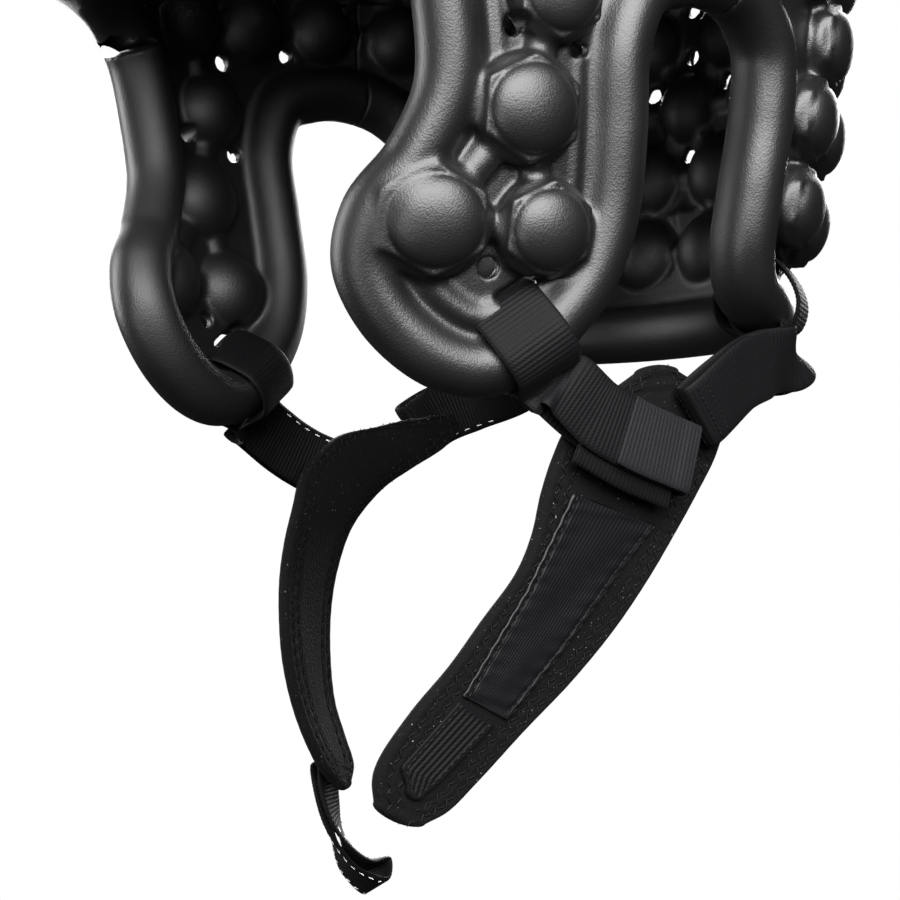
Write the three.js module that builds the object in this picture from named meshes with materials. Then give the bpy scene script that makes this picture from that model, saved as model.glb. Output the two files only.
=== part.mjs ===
// Moulded head guard for contact sport: a padded open-faced cap of four moulded shells that carry round
// air cells, with cheek pieces in front of the ears and two open chin straps on webbing loops.
// Millimetres, +Z up, the wearer faces -Y, and the origin is the highest point of the head inside.
import * as THREE from 'three';

// Head form: the surface in the middle of the shell's wall.
const HALF_WIDTH = 88;
const HALF_LENGTH = 109;
const CROWN_RISE = 74.5; // from the widest level up to the middle of the wall at the crown
const PLAN_POWER = 2.25; // 2 is an ellipse, more is squarer
const JAW_TAPER = 0.125; // share of the radius lost at TAPER_DEPTH under the widest level
const TAPER_DEPTH = 100;

// Levels of the rim's centre line, under the origin.
const BROW_DEPTH = 84;
const EAR_ARCH_DEPTH = 97;
const CHEEK_DEPTH = 198;
const NAPE_DEPTH = 175;

// Wall, rim and cells.
const WEB = 3;
const RIM_WIDTH = 16;
const RIM_THICKNESS = 18;
const RIM_SET = -0.8; // of the rim's middle outwards from the middle of the wall
const CELL_RADIUS = 12.2;
const CELL_SHOULDER = 8.5; // height of the outer cell's edge over the middle of the wall
const CELL_TOP = 12.5;
const CELL_INSIDE = 9.5; // how far the round inner side stands in from the middle of the wall
const CELL_SIDES = 6;
const SHOULDER_SHARE = 0.9; // of the cell's radius
const INNER_RING_SHARE = 0.72;
const INNER_RING_DEPTH_SHARE = 0.78;
const VENT_RADIUS = 2.6;
const VENT_SIDES = 4;
const VENT_SPACING = 15;
const VENT_REACH = 2.95; // cells further apart than this many radii have no vent between them
const SEAM = 0.5;
const RELAX_PASSES = 60;

// Webbing, its slots and the chin pads.
const WEBBING_WIDTH = 18.6;
const WEBBING = 1.4;
const SLOT_LENGTH = 22;
const SLOT_HEIGHT = 4.6;
const CLEARANCE = 0.35;
const LAYER = WEBBING + CLEARANCE; // from one layer of webbing to the next
const PAD_THICKNESS = 3.6;
const PATCH = 0.8;
const HANG = { x: 72.8, drop: 17, lean: 0.063 }; // outer face of a hanging pad: x at a level, and its lean

const EQUATOR = CELL_INSIDE - CROWN_RISE;
const CROWN_ARC = (Math.PI / 2) * Math.hypot((HALF_WIDTH + HALF_LENGTH) / 2, CROWN_RISE) / Math.SQRT2;
const CHEEK_REACH = CHEEK_DEPTH - BROW_DEPTH;
const NAPE_REACH = NAPE_DEPTH - EAR_ARCH_DEPTH;
const RIM_START = Math.asin(WEB / RIM_THICKNESS); // where the rim's profile leaves the wall
const WEB_EDGE = (RIM_WIDTH / 2) * Math.cos(RIM_START);
const radians = THREE.MathUtils.degToRad;
const mix = THREE.MathUtils.lerp;

// Rim line of one half, from the middle of the brow to the middle of the nape.
// turn is in degrees round from the front, drop the share of the way down from the level `from` over `reach`.
const BROW = { from: BROW_DEPTH, reach: CHEEK_REACH };
const EAR = { from: EAR_ARCH_DEPTH, reach: NAPE_REACH };
const FOREHEAD = { from: 0, reach: BROW_DEPTH };
const OVER_EAR = { from: 0, reach: EAR_ARCH_DEPTH };
const RIM_KNOTS = [
  { turn: 0, drop: 0, level: BROW },
  { turn: 24, drop: 0, level: BROW },
  { turn: 38, drop: -0.01, level: BROW },
  { turn: 46, drop: 0.025, level: BROW },
  { turn: 51.2, drop: 0.12, level: BROW },
  { turn: 53.4, drop: 0.27, level: BROW },
  { turn: 53.4, drop: 0.43, level: BROW },
  { turn: 48.5, drop: 0.58, level: BROW },
  { turn: 42, drop: 0.69, level: BROW },
  { turn: 40.2, drop: 0.79, level: BROW },
  { turn: 43.2, drop: 0.89, level: BROW },
  { turn: 50, drop: 0.97, level: BROW },
  { turn: 58, drop: 1, level: BROW },
  { turn: 67, drop: 0.97, level: BROW },
  { turn: 75, drop: 0.89, level: BROW },
  { turn: 81, drop: 0.79, level: BROW },
  { turn: 84, drop: 0.66, level: BROW },
  { turn: 84, drop: 0.48, level: BROW },
  { turn: 83.5, drop: 0.31, level: BROW },
  { turn: 87, drop: 0.18, level: BROW },
  { turn: 95, drop: 0.02, level: EAR },
  { turn: 104, drop: 0, level: EAR },
  { turn: 113, drop: 0.05, level: EAR },
  { turn: 119.5, drop: 0.18, level: EAR },
  { turn: 121.3, drop: 0.4, level: EAR },
  { turn: 121.5, drop: 0.65, level: EAR },
  { turn: 123, drop: 0.84, level: EAR },
  { turn: 128, drop: 0.96, level: EAR },
  { turn: 137, drop: 1, level: EAR },
  { turn: 158, drop: 1, level: EAR },
  { turn: 180, drop: 1, level: EAR },
];
const RIM_STEPS = 2; // points from one knot to the next
const RIM_POINTS = 8; // of the rim's profile, from the outer face of the wall round to the inner one
const TEMPLE_KNOT = 3;
const EAR_KNOT = 21;

// Rings of cells round the crown. front and side are shares of the arc from the crown down to the widest
// level, and start is the share of one spacing by which the first cell stands round from the front.
const CELL_RINGS = [
  { front: 0.765, side: 0.885, count: 23, start: 0 },
  { front: 0.575, side: 0.68, count: 20, start: 0.5 },
  { front: 0.41, side: 0.48, count: 16, start: 0 },
  { front: 0.235, side: 0.285, count: 8, start: 0.5 },
  { front: 0.1, side: 0.1, count: 2, start: 0.5 },
];
const BROW_BLEND = { from: 66, to: 36 }; // degrees from the front, over which side turns into front

// Cells under the rings, on one half. drop is as for the rim line, radius a share of CELL_RADIUS.
const LOWER_CELLS = [
  { turn: 7, drop: 0.726, level: FOREHEAD, radius: 1 },
  { turn: 21, drop: 0.726, level: FOREHEAD, radius: 1 },
  { turn: 35.5, drop: 0.738, level: FOREHEAD, radius: 1 },
  { turn: 49, drop: 0.79, level: FOREHEAD, radius: 0.92 },
  { turn: 65, drop: 0.976, level: FOREHEAD, radius: 1 },
  { turn: 80.5, drop: 0.94, level: FOREHEAD, radius: 0.98 },
  { turn: 97.3, drop: 0.791, level: OVER_EAR, radius: 0.89 },
  { turn: 114.8, drop: 0.791, level: OVER_EAR, radius: 0.89 },
  { turn: 131.5, drop: 0.825, level: OVER_EAR, radius: 1 },
  { turn: 147.5, drop: 0.825, level: OVER_EAR, radius: 1 },
  { turn: 163.5, drop: 0.825, level: OVER_EAR, radius: 1 },
  { turn: 180, drop: 0.825, level: OVER_EAR, radius: 1 },
  { turn: 70.3, drop: 0.222, level: BROW, radius: 0.97 },
  { turn: 67.6, drop: 0.465, level: BROW, radius: 1.12 },
  { turn: 69.5, drop: 0.675, level: BROW, radius: 0.9 },
  { turn: 55.6, drop: 0.728, level: BROW, radius: 0.88 },
  { turn: 172, drop: 0.064, level: EAR, radius: 1 },
  { turn: 156, drop: 0.064, level: EAR, radius: 1 },
  { turn: 140, drop: 0.064, level: EAR, radius: 1 },
  { turn: 180, drop: 0.353, level: EAR, radius: 1 },
  { turn: 164.5, drop: 0.353, level: EAR, radius: 1 },
  { turn: 149, drop: 0.353, level: EAR, radius: 1 },
  { turn: 133.7, drop: 0.353, level: EAR, radius: 0.98 },
  { turn: 180, drop: 0.667, level: EAR, radius: 0.98 },
  { turn: 165, drop: 0.667, level: EAR, radius: 0.98 },
  { turn: 150, drop: 0.667, level: EAR, radius: 0.98 },
  { turn: 134.8, drop: 0.654, level: EAR, radius: 0.94 },
];

// Vent holes beside the rim, on one half.
const RIM_VENTS = [
  { turn: 62.3, drop: 0.307, level: BROW },
  { turn: 76, drop: 0.333, level: BROW },
  { turn: 64.4, drop: 0.774, level: BROW },
  { turn: 89.3, drop: 1.036, level: FOREHEAD },
];

// Slots for the webbing: tilt is how far the slot rises towards the back, in degrees, and rim the distance
// from the slot to the rim's centre line.
const CHEEK_SLOT_RISE = 16; // over the rim's lowest level
const NAPE_SLOT_RISE = 12.4;
const CHEEK_SLOT = { turn: 63.1, depth: CHEEK_DEPTH - CHEEK_SLOT_RISE, tilt: 35, rim: 13.8 };
const NAPE_SLOT = { turn: 139.5, depth: NAPE_DEPTH - NAPE_SLOT_RISE, tilt: 0, rim: 12.6 };

// Joints between the shells on one half, which run between the cells: from the brow rim up the temple,
// level round the head under the crown, and from there down to the rim over the ear.
const TEMPLE_SEAM = [
  { turn: 52.8, drop: 0.938, level: FOREHEAD },
  { turn: 57, drop: 0.881, level: FOREHEAD },
  { turn: 59.5, drop: 0.789, level: FOREHEAD },
];
const CROWN_SEAM_RISE = 0.1; // over the widest level
const CROWN_SEAM = { depth: -EQUATOR - CROWN_SEAM_RISE, step: 5.2 };
const EAR_SEAM = { turn: 106, drop: 0.804, level: OVER_EAR };

// Chin pads from their tops to their tips: the front and back edges on the hanging face, and in mm how far
// the front edge is turned inwards and the back edge outwards.
const LEFT_PAD = [
  { frontY: 6, frontDrop: 0.2, backY: 20, backDrop: -1.2, twist: 0 },
  { frontY: -5.5, frontDrop: 7.5, backY: 30.5, backDrop: 3.5, twist: 0 },
  { frontY: -15.5, frontDrop: 15, backY: 36, backDrop: 12, twist: 0 },
  { frontY: -19.3, frontDrop: 21.5, backY: 34.3, backDrop: 19.5, twist: 0 },
  { frontY: -22.8, frontDrop: 31, backY: 28, backDrop: 30, twist: 0 },
  { frontY: -25.3, frontDrop: 41.5, backY: 20.5, backDrop: 41, twist: 0 },
  { frontY: -29.8, frontDrop: 50.9, backY: 12.5, backDrop: 52, twist: 0 },
  { frontY: -39.8, frontDrop: 62.4, backY: 1.5, backDrop: 65, twist: 0 },
  { frontY: -48.8, frontDrop: 72.9, backY: -11.5, backDrop: 77.5, twist: 0 },
  { frontY: -59.6, frontDrop: 83.5, backY: -26.5, backDrop: 89.7, twist: 0 },
  { frontY: -68.3, frontDrop: 94.2, backY: -40, backDrop: 101.2, twist: 0 },
  { frontY: -70, frontDrop: 99.5, backY: -48.5, backDrop: 107.8, twist: 0 },
  { frontY: -69.3, frontDrop: 104.2, backY: -55, backDrop: 110.3, twist: 0 },
];
const RIGHT_PAD = [
  { frontY: 23, frontDrop: 5.5, backY: 53, backDrop: 0.5, twist: 0 },
  { frontY: 11, frontDrop: 8, backY: 55.5, backDrop: 4, twist: 0 },
  { frontY: 2.5, frontDrop: 13.5, backY: 50, backDrop: 10.3, twist: 0.5 },
  { frontY: -4.5, frontDrop: 21, backY: 36.2, backDrop: 17.5, twist: 2 },
  { frontY: -7.5, frontDrop: 31, backY: 23.7, backDrop: 24, twist: 4.8 },
  { frontY: -10.5, frontDrop: 41.5, backY: 12.2, backDrop: 35, twist: 6.5 },
  { frontY: -12.5, frontDrop: 52.5, backY: 5.7, backDrop: 48.5, twist: 7 },
  { frontY: -13, frontDrop: 64, backY: 2.4, backDrop: 62, twist: 7.3 },
  { frontY: -12.3, frontDrop: 77, backY: 1.6, backDrop: 77, twist: 6.9 },
  { frontY: -9.5, frontDrop: 90, backY: 2.8, backDrop: 91, twist: 6.4 },
  { frontY: -5, frontDrop: 101.5, backY: 6.2, backDrop: 102, twist: 6.4 },
  { frontY: 0, frontDrop: 110.5, backY: 9, backDrop: 110.5, twist: 5 },
  { frontY: 3.5, frontDrop: 114.5, backY: 8, backDrop: 114.8, twist: 2.5 },
];

// Blank patch and ribbed panel on the left pad, corners on its outer face.
const LEFT_PATCH = [
  { y: -15, drop: 31 }, { y: -28.8, drop: 55 }, { y: -46.8, drop: 80 },
  { y: -33, drop: 86.3 }, { y: -15.5, drop: 69 }, { y: 3.2, drop: 48 }, { y: 12.5, drop: 38.5 },
];
const LEFT_PANEL = [
  { y: -47.6, drop: 81.2 }, { y: -64, drop: 96 }, { y: -62.1, drop: 101 },
  { y: -57, drop: 103 }, { y: -53, drop: 100.6 }, { y: -36.8, drop: 87.3 },
];

// Free parts of the webbing loops, from the rim to the sewn end: the outer layer's centre, and tilt as for
// the slots. The loop's inner layer lies under the outer one.
const LEFT_FRONT_RUN = [
  { x: 76.6, y: -20.5, drop: 4, tilt: 32 },
  { x: 77.9, y: -11, drop: 11.3, tilt: 43 },
  { x: 78.4, y: 1, drop: 16.6, tilt: 57 },
  { x: 78.4, y: 12, drop: 20, tilt: 68 },
  { x: 78.1, y: 19.5, drop: 22.2, tilt: 70 },
];
const LEFT_REAR_RUN = [
  { x: 67.8, y: 66.5, drop: 19, from: NAPE_DEPTH, tilt: -15 },
  { x: 74, y: 51.3, drop: -4.5, tilt: -36 },
  { x: 78.4, y: 38.3, drop: -0.7, tilt: -48 },
  { x: 78.3, y: 22.8, drop: 10.6, tilt: -50 },
];
const RIGHT_FRONT_RUN = [
  { x: -76.6, y: -20, drop: 3.5, tilt: 38 },
  { x: -77.4, y: -10.5, drop: 10, tilt: 44 },
  { x: -78, y: -0.5, drop: 15.3, tilt: 56 },
  { x: -77.6, y: 9.5, drop: 19.2, tilt: 66 },
];
const RIGHT_REAR_RUN = [
  { x: -64.5, y: 72, drop: 15, from: NAPE_DEPTH, tilt: -18 },
  { x: -77.2, y: 63, drop: -4.5, tilt: -36 },
  { x: -80.2, y: 52, drop: 0, tilt: -52 },
  { x: -79.6, y: 42.5, drop: 5.5, tilt: -54 },
];

// Wider pile strip between the two layers of the left front webbing, showing under its lower edge.
const PILE_WIDTH = 23;
const PILE_DROP = 2.6;
const PILE_END = { x: 78.4, y: 16.2, drop: 21.4, tilt: 69 };

// Pull tab, a folded loop of narrow webbing at the tip of the right pad: its middle line, and how far its
// width is leaned down from the level direction TAB_DEPTH, in degrees.
const TAB_WIDTH = 13;
const TAB_RUN = [
  { x: -70, y: 3.6, drop: 108.5, lean: 0 },
  { x: -69.6, y: 4, drop: 116.5, lean: 4 },
  { x: -68.4, y: 5.2, drop: 125, lean: 15 },
  { x: -68, y: 8.5, drop: 133, lean: 35 },
  { x: -67.5, y: 13.5, drop: 140, lean: 52 },
  { x: -67, y: 20.8, drop: 143.6, lean: 66 },
];
const TAB_DEPTH = { x: -0.48, y: 0.88 };
const TAB_OPENING = 7; // between the two layers of the tab at its widest
const LOOP_LAYERS = 2; // layers from a loop's outer webbing to its inner one, over the pile strip
const LOOP_SPREAD = 1.6; // how much wider the loop stands where it leaves the rim

const colours = {
  shell: new THREE.MeshStandardMaterial({ color: 0x1b1c1e, roughness: 0.42, metalness: 0 }),
  webbing: new THREE.MeshStandardMaterial({ color: 0x141415, roughness: 0.8, metalness: 0 }),
  pad: new THREE.MeshStandardMaterial({ color: 0x17171a, roughness: 0.92, metalness: 0 }),
  patch: new THREE.MeshStandardMaterial({ color: 0x202023, roughness: 0.7, metalness: 0 }),
};

// Head form

const planShare = (x, y) =>
  (Math.abs(x / HALF_WIDTH) ** PLAN_POWER + Math.abs(y / HALF_LENGTH) ** PLAN_POWER) ** (1 / PLAN_POWER);

// Point of the form at a turn in degrees and a fall in mm down from the crown.
function formPoint(turn, fall) {
  const angle = radians(turn);
  const reach = 1 / planShare(Math.sin(angle), Math.cos(angle));
  const below = fall - CROWN_ARC;
  const arc = ((fall / CROWN_ARC) * Math.PI) / 2;
  const spread = below > 0 ? 1 - JAW_TAPER * (below / TAPER_DEPTH) ** 2 : Math.sin(arc);
  const z = below > 0 ? EQUATOR - below : EQUATOR + CROWN_RISE * Math.cos(arc);
  return new THREE.Vector3(reach * spread * Math.sin(angle), -reach * spread * Math.cos(angle), z);
}

// Turn and fall of the form's point nearest to a point beside it.
function formPlace(point) {
  const turn = THREE.MathUtils.radToDeg(Math.atan2(point.x, -point.y));
  if (point.z <= EQUATOR) return { turn, fall: CROWN_ARC + EQUATOR - point.z };
  const arc = Math.atan2(planShare(point.x, point.y), (point.z - EQUATOR) / CROWN_RISE);
  return { turn, fall: (arc / (Math.PI / 2)) * CROWN_ARC };
}

// Outward direction of the form, from the slope of its equation.
function formNormal(point) {
  const share = Math.max(planShare(point.x, point.y), 1e-6);
  const slope = (v, half) => (Math.sign(v) * Math.abs(v / half) ** (PLAN_POWER - 1)) / half;
  const flat = share ** (1 - PLAN_POWER);
  const across = new THREE.Vector3(slope(point.x, HALF_WIDTH) * flat, slope(point.y, HALF_LENGTH) * flat, 0);
  const below = EQUATOR - point.z;
  if (below > 0) across.z = (-2 * JAW_TAPER * below) / TAPER_DEPTH ** 2;
  else across.multiplyScalar(share).setZ(-below / CROWN_RISE ** 2);
  return across.normalize();
}

// Point at a height over the form.
function skin(place, height) {
  const point = formPoint(place.turn, place.fall);
  return point.addScaledVector(formNormal(point), height);
}

// Place at a turn and a depth under the origin.
function placeAt(turn, depth) {
  const below = EQUATOR + depth;
  if (below > 0) return { turn, fall: CROWN_ARC + below };
  return { turn, fall: (Math.acos(-below / CROWN_RISE) / (Math.PI / 2)) * CROWN_ARC };
}

const placeOf = (row) => placeAt(row.turn, row.level.from + row.drop * row.level.reach);
const mirrored = (place) => ({ ...place, turn: -place.turn });

// Directions along the form at a point: back along the wall, and up.
function tangents(place) {
  const point = formPoint(place.turn, place.fall);
  const out = formNormal(point);
  const round = formPoint(place.turn + 0.5, place.fall).sub(formPoint(place.turn - 0.5, place.fall));
  const along = round.lengthSq() > 1e-6 ? round.normalize() : new THREE.Vector3(1, 0, 0);
  return { point, out, along, up: new THREE.Vector3().crossVectors(out, along).normalize() };
}

// Places of a ring of points round a place, on the form.
function ringPlaces(place, sides, radius, startTurn = 0) {
  const { point, along, up } = tangents(place);
  return Array.from({ length: sides }, (_, i) => {
    const a = startTurn + (i / sides) * 2 * Math.PI;
    const spot = point.clone().addScaledVector(along, radius * Math.cos(a)).addScaledVector(up, radius * Math.sin(a));
    return formPlace(spot);
  });
}

// Cells and vents

// Turns of a number of places spaced evenly round the form.
function evenTurns(count, start) {
  const samples = 720;
  const lengths = [0];
  for (let i = 1; i <= samples; i += 1) {
    const step = formPoint((i / samples) * 360, CROWN_ARC).distanceTo(formPoint(((i - 1) / samples) * 360, CROWN_ARC));
    lengths.push(lengths[i - 1] + step);
  }
  return Array.from({ length: count }, (_, k) => {
    const wanted = ((k + start) / count) * lengths[samples];
    const i = Math.max(1, lengths.findIndex((length) => length >= wanted));
    const share = (wanted - lengths[i - 1]) / (lengths[i] - lengths[i - 1]);
    const turn = ((i - 1 + share) / samples) * 360;
    return turn > 180 ? turn - 360 : turn;
  });
}

// Fall of a ring's cell, which stands higher over the brow to leave room for the rim.
function ringFall(ring, turn) {
  const share = THREE.MathUtils.smoothstep(BROW_BLEND.from - Math.abs(turn), 0, BROW_BLEND.from - BROW_BLEND.to);
  return mix(ring.side, ring.front, share) * CROWN_ARC;
}

function bothSides(rows, make) {
  return rows.flatMap((row) => {
    const made = make(row);
    const middle = Math.abs(row.turn) < 1e-6 || Math.abs(row.turn - 180) < 1e-6;
    return middle ? [made] : [made, mirrored(made)];
  });
}

function allCells() {
  const rings = CELL_RINGS.flatMap((ring) =>
    evenTurns(ring.count, ring.start).map((turn) => ({ turn, fall: ringFall(ring, turn), radius: CELL_RADIUS })));
  const lower = bothSides(LOWER_CELLS, (row) => ({ ...placeOf(row), radius: row.radius * CELL_RADIUS }));
  return [...rings, ...lower];
}

// The point as far from each of three points, in their plane.
function circumcentre(a, b, c) {
  const ab = b.clone().sub(a);
  const ac = c.clone().sub(a);
  const cross = new THREE.Vector3().crossVectors(ab, ac);
  const part = cross.clone().cross(ab).multiplyScalar(ac.lengthSq());
  part.add(ac.clone().cross(cross).multiplyScalar(ab.lengthSq()));
  return a.clone().addScaledVector(part, 1 / (2 * cross.lengthSq()));
}

// Vents stand in the gap between three cells, clear of every cell, of the rim and of each other.
function allVents(cells, rimPoints, seamPoints) {
  const centres = cells.map((cell) => formPoint(cell.turn, cell.fall));
  const slots = bothSides([CHEEK_SLOT, NAPE_SLOT], ({ turn, depth }) => placeAt(turn, depth));
  const slotPoints = slots.map((place) => formPoint(place.turn, place.fall));
  const near = VENT_REACH * CELL_RADIUS;
  const kept = bothSides(RIM_VENTS, placeOf).map((place) => formPoint(place.turn, place.fall));
  const fits = (spot) =>
    centres.every((centre, i) => centre.distanceTo(spot) > cells[i].radius + VENT_RADIUS)
    && rimPoints.every((point) => point.distanceTo(spot) > RIM_WIDTH / 2 + VENT_RADIUS)
    && seamPoints.every((point) => point.distanceTo(spot) > 2 * VENT_RADIUS)
    && slotPoints.every((point) => point.distanceTo(spot) > SLOT_LENGTH / 2 + VENT_RADIUS)
    && kept.every((point) => point.distanceTo(spot) > VENT_SPACING);
  for (let i = 0; i < centres.length; i += 1) {
    for (let j = i + 1; j < centres.length; j += 1) {
      if (centres[i].distanceTo(centres[j]) > near) continue;
      for (let k = j + 1; k < centres.length; k += 1) {
        if (centres[k].distanceTo(centres[i]) > near || centres[k].distanceTo(centres[j]) > near) continue;
        const place = formPlace(circumcentre(centres[i], centres[j], centres[k]));
        const spot = formPoint(place.turn, place.fall);
        if (fits(spot)) kept.push(spot);
      }
    }
  }
  return kept.map(formPlace);
}

// Outline and rim

// Places along the rim's centre line from one knot of a half to another.
function rimPlaces(from, to) {
  const half = RIM_KNOTS.map(placeOf);
  const last = half.length - 1;
  const before = { turn: -half[1].turn, fall: half[1].fall };
  const after = { turn: 360 - half[last - 1].turn, fall: half[last - 1].fall };
  const mmPerDegree = radians(1) * HALF_LENGTH;
  const knots = [before, ...half, after].map(({ turn, fall }) => new THREE.Vector3(turn * mmPerDegree, fall, 0));
  const curve = new THREE.CatmullRomCurve3(knots, false, 'centripetal');
  const count = (to - from) * RIM_STEPS;
  return Array.from({ length: count + 1 }, (_, i) => {
    const spot = curve.getPoint((1 + from + i / RIM_STEPS) / (knots.length - 1));
    return { turn: spot.x / mmPerDegree, fall: spot.y };
  });
}

const reversedMirror = (places) => [...places].reverse().map(mirrored);

// Profiles of the rim along its centre line. Each runs from the wall's outer face round the rim to the
// inner face. The line's first and last places lie beyond the joints, and the profiles at the joints
// stand back from them.
function rimProfiles(line) {
  const spots = line.map((place) => formPoint(place.turn, place.fall));
  return spots.slice(1, -1).map((spot, i) => {
    const out = formNormal(spot);
    const run = spots[i + 2].clone().sub(spots[i]).normalize();
    const side = new THREE.Vector3().crossVectors(out, run).normalize();
    const shift = (i === 0) - (i === spots.length - 3);
    const centre = spot.clone().addScaledVector(run, (shift * SEAM) / 2);
    const edge = formPlace(centre.clone().addScaledVector(side, WEB_EDGE));
    const middle = Array.from({ length: RIM_POINTS - 2 }, (_, j) => {
      const a = mix(RIM_START, 2 * Math.PI - RIM_START, (j + 1) / (RIM_POINTS - 1));
      return centre.clone()
        .addScaledVector(side, (RIM_WIDTH / 2) * Math.cos(a))
        .addScaledVector(out, (RIM_THICKNESS / 2) * Math.sin(a) + RIM_SET);
    });
    return { edge, points: [skin(edge, WEB / 2), ...middle, skin(edge, -WEB / 2)] };
  });
}

// Plain wall edges along a line of joint places, each half a joint's width inside the line.
function seamProfiles(line, before, after) {
  const spots = [before, ...line.map((place) => formPoint(place.turn, place.fall)), after];
  return line.map((_, i) => {
    const [a, b, c] = [spots[i], spots[i + 1], spots[i + 2]];
    const out = formNormal(b);
    const [sideIn, sideOut] = [b.clone().sub(a), c.clone().sub(b)].map((run) =>
      new THREE.Vector3().crossVectors(out, run).normalize());
    const side = sideIn.add(sideOut).normalize();
    const reach = SEAM / 2 / side.dot(sideOut);
    const edge = formPlace(b.clone().addScaledVector(side, reach));
    return { edge, points: [skin(edge, WEB / 2), skin(edge, -WEB / 2)] };
  });
}

// Geometry

function geometryOf(points, triangles) {
  const geometry = new THREE.BufferGeometry();
  geometry.setAttribute('position', new THREE.Float32BufferAttribute(points.flatMap((p) => [p.x, p.y, p.z]), 3));
  geometry.setIndex(triangles.flat());
  return geometry;
}

// Closed skin over rings of as many points each. A closed loop of rings has no ends, others get flat ends.
function loft(rings, closed = false) {
  const sides = rings[0].length;
  const points = rings.flat();
  const triangles = [];
  const spans = closed ? rings.length : rings.length - 1;
  for (let i = 0; i < spans; i += 1) {
    const next = (i + 1) % rings.length;
    for (let j = 0; j < sides; j += 1) {
      const k = (j + 1) % sides;
      const [a, b, c, d] = [i * sides + j, i * sides + k, next * sides + k, next * sides + j];
      triangles.push([a, b, c], [a, c, d]);
    }
  }
  if (!closed) {
    const last = (rings.length - 1) * sides;
    for (let j = 1; j < sides - 1; j += 1) {
      triangles.push([0, j + 1, j], [last, last + j, last + j + 1]);
    }
  }
  return geometryOf(points, triangles);
}

// Closed skin of one shell: the rim along rimLine, plain edges along the joints, a thin wall between them
// with its cells swelling out of both faces, and the holes through it.
function shellGeometry(rimLine, seamLine, cells, holes) {
  const points = [];
  const triangles = [];
  const addRing = (places, height) => places.map((place) => points.push(skin(place, height)) - 1);
  const wall = (outer, inner) => outer.forEach((a, i) => {
    const j = (i + 1) % outer.length;
    triangles.push([a, inner[i], outer[j]], [outer[j], inner[i], inner[j]]);
  });
  const chart = ({ turn, fall }) =>
    new THREE.Vector2(fall * Math.sin(radians(turn)), -fall * Math.cos(radians(turn)));

  const rim = rimProfiles(rimLine);
  const ends = [rim[rim.length - 1], rim[0]].map(({ edge }) => formPoint(edge.turn, edge.fall));
  const seam = seamProfiles(seamLine, ends[0], ends[1]);
  const border = [...rim, ...seam];
  const rows = border.map((station) => station.points.map((point) => points.push(point) - 1));
  rows.forEach((row, i) => {
    const next = rows[(i + 1) % rows.length];
    if (row.length === next.length) {
      for (let j = 1; j < row.length; j += 1) {
        triangles.push([row[j - 1], row[j], next[j - 1]], [next[j - 1], row[j], next[j]]);
      }
      return;
    }
    const [a, b, c, d] = [row[0], row[row.length - 1], next[0], next[next.length - 1]];
    triangles.push([a, b, c], [c, b, d]);
    const opening = next.length > row.length;
    const cap = opening ? next : row;
    for (let j = 1; j < cap.length - 1; j += 1) {
      triangles.push(opening ? [cap[0], cap[j + 1], cap[j]] : [cap[0], cap[j], cap[j + 1]]);
    }
  });

  const outline = border.map((station) => station.edge);
  const cellPlaces = cells.map((cell) => ringPlaces(cell, CELL_SIDES, cell.radius, Math.PI / 2));
  const loops = [...cellPlaces, ...holes];
  const outer = [rows.map((row) => row[0]), ...loops.map((loop) => addRing(loop, WEB / 2))];
  const inner = [rows.map((row) => row[row.length - 1]), ...loops.map((loop) => addRing(loop, -WEB / 2))];
  const flat = [outline, ...loops].map((loop) => loop.map(chart));
  const [outerIndex, innerIndex, flatPoints] = [outer.flat(), inner.flat(), flat.flat()];
  let start = 0;
  const spans = flat.map((loop) => [(start += loop.length) - loop.length, loop.length]);
  const faces = THREE.ShapeUtils.triangulateShape(flat[0], flat.slice(1));
  for (const [a, b, c] of relaxed(faces, flatPoints, outerIndex.map((index) => points[index]), spans)) {
    triangles.push([outerIndex[a], outerIndex[b], outerIndex[c]], [innerIndex[a], innerIndex[c], innerIndex[b]]);
  }
  holes.forEach((_, i) => wall(inner[1 + cells.length + i], outer[1 + cells.length + i]));
  cells.forEach((cell, i) => {
    const shoulder = addRing(ringPlaces(cell, CELL_SIDES, cell.radius * SHOULDER_SHARE, Math.PI / 2), CELL_SHOULDER);
    const bulge = addRing(
      ringPlaces(cell, CELL_SIDES, cell.radius * INNER_RING_SHARE, Math.PI / 2),
      -mix(WEB / 2, CELL_INSIDE, INNER_RING_DEPTH_SHARE),
    );
    const top = points.push(skin(cell, CELL_TOP)) - 1;
    const bottom = points.push(skin(cell, -CELL_INSIDE)) - 1;
    wall(shoulder, outer[1 + i]);
    wall(inner[1 + i], bulge);
    shoulder.forEach((a, j) => triangles.push([a, shoulder[(j + 1) % CELL_SIDES], top]));
    bulge.forEach((a, j) => triangles.push([bulge[(j + 1) % CELL_SIDES], a, bottom]));
  });
  return geometryOf(points, triangles);
}

// Corner places of a slot, wound as the vents are.
function slotPlaces(row) {
  const { point, along, up } = tangents(placeAt(row.turn, row.depth));
  const tilt = radians(row.tilt);
  const lengthways = along.clone().multiplyScalar(Math.cos(tilt)).addScaledVector(up, Math.sin(tilt));
  const upright = up.clone().multiplyScalar(Math.cos(tilt)).addScaledVector(along, -Math.sin(tilt));
  const corners = [[1, 1], [-1, 1], [-1, -1], [1, -1]];
  return corners.map(([a, b]) => formPlace(point.clone()
    .addScaledVector(lengthways, (a * SLOT_LENGTH) / 2)
    .addScaledVector(upright, (b * SLOT_HEIGHT) / 2)));
}

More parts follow.
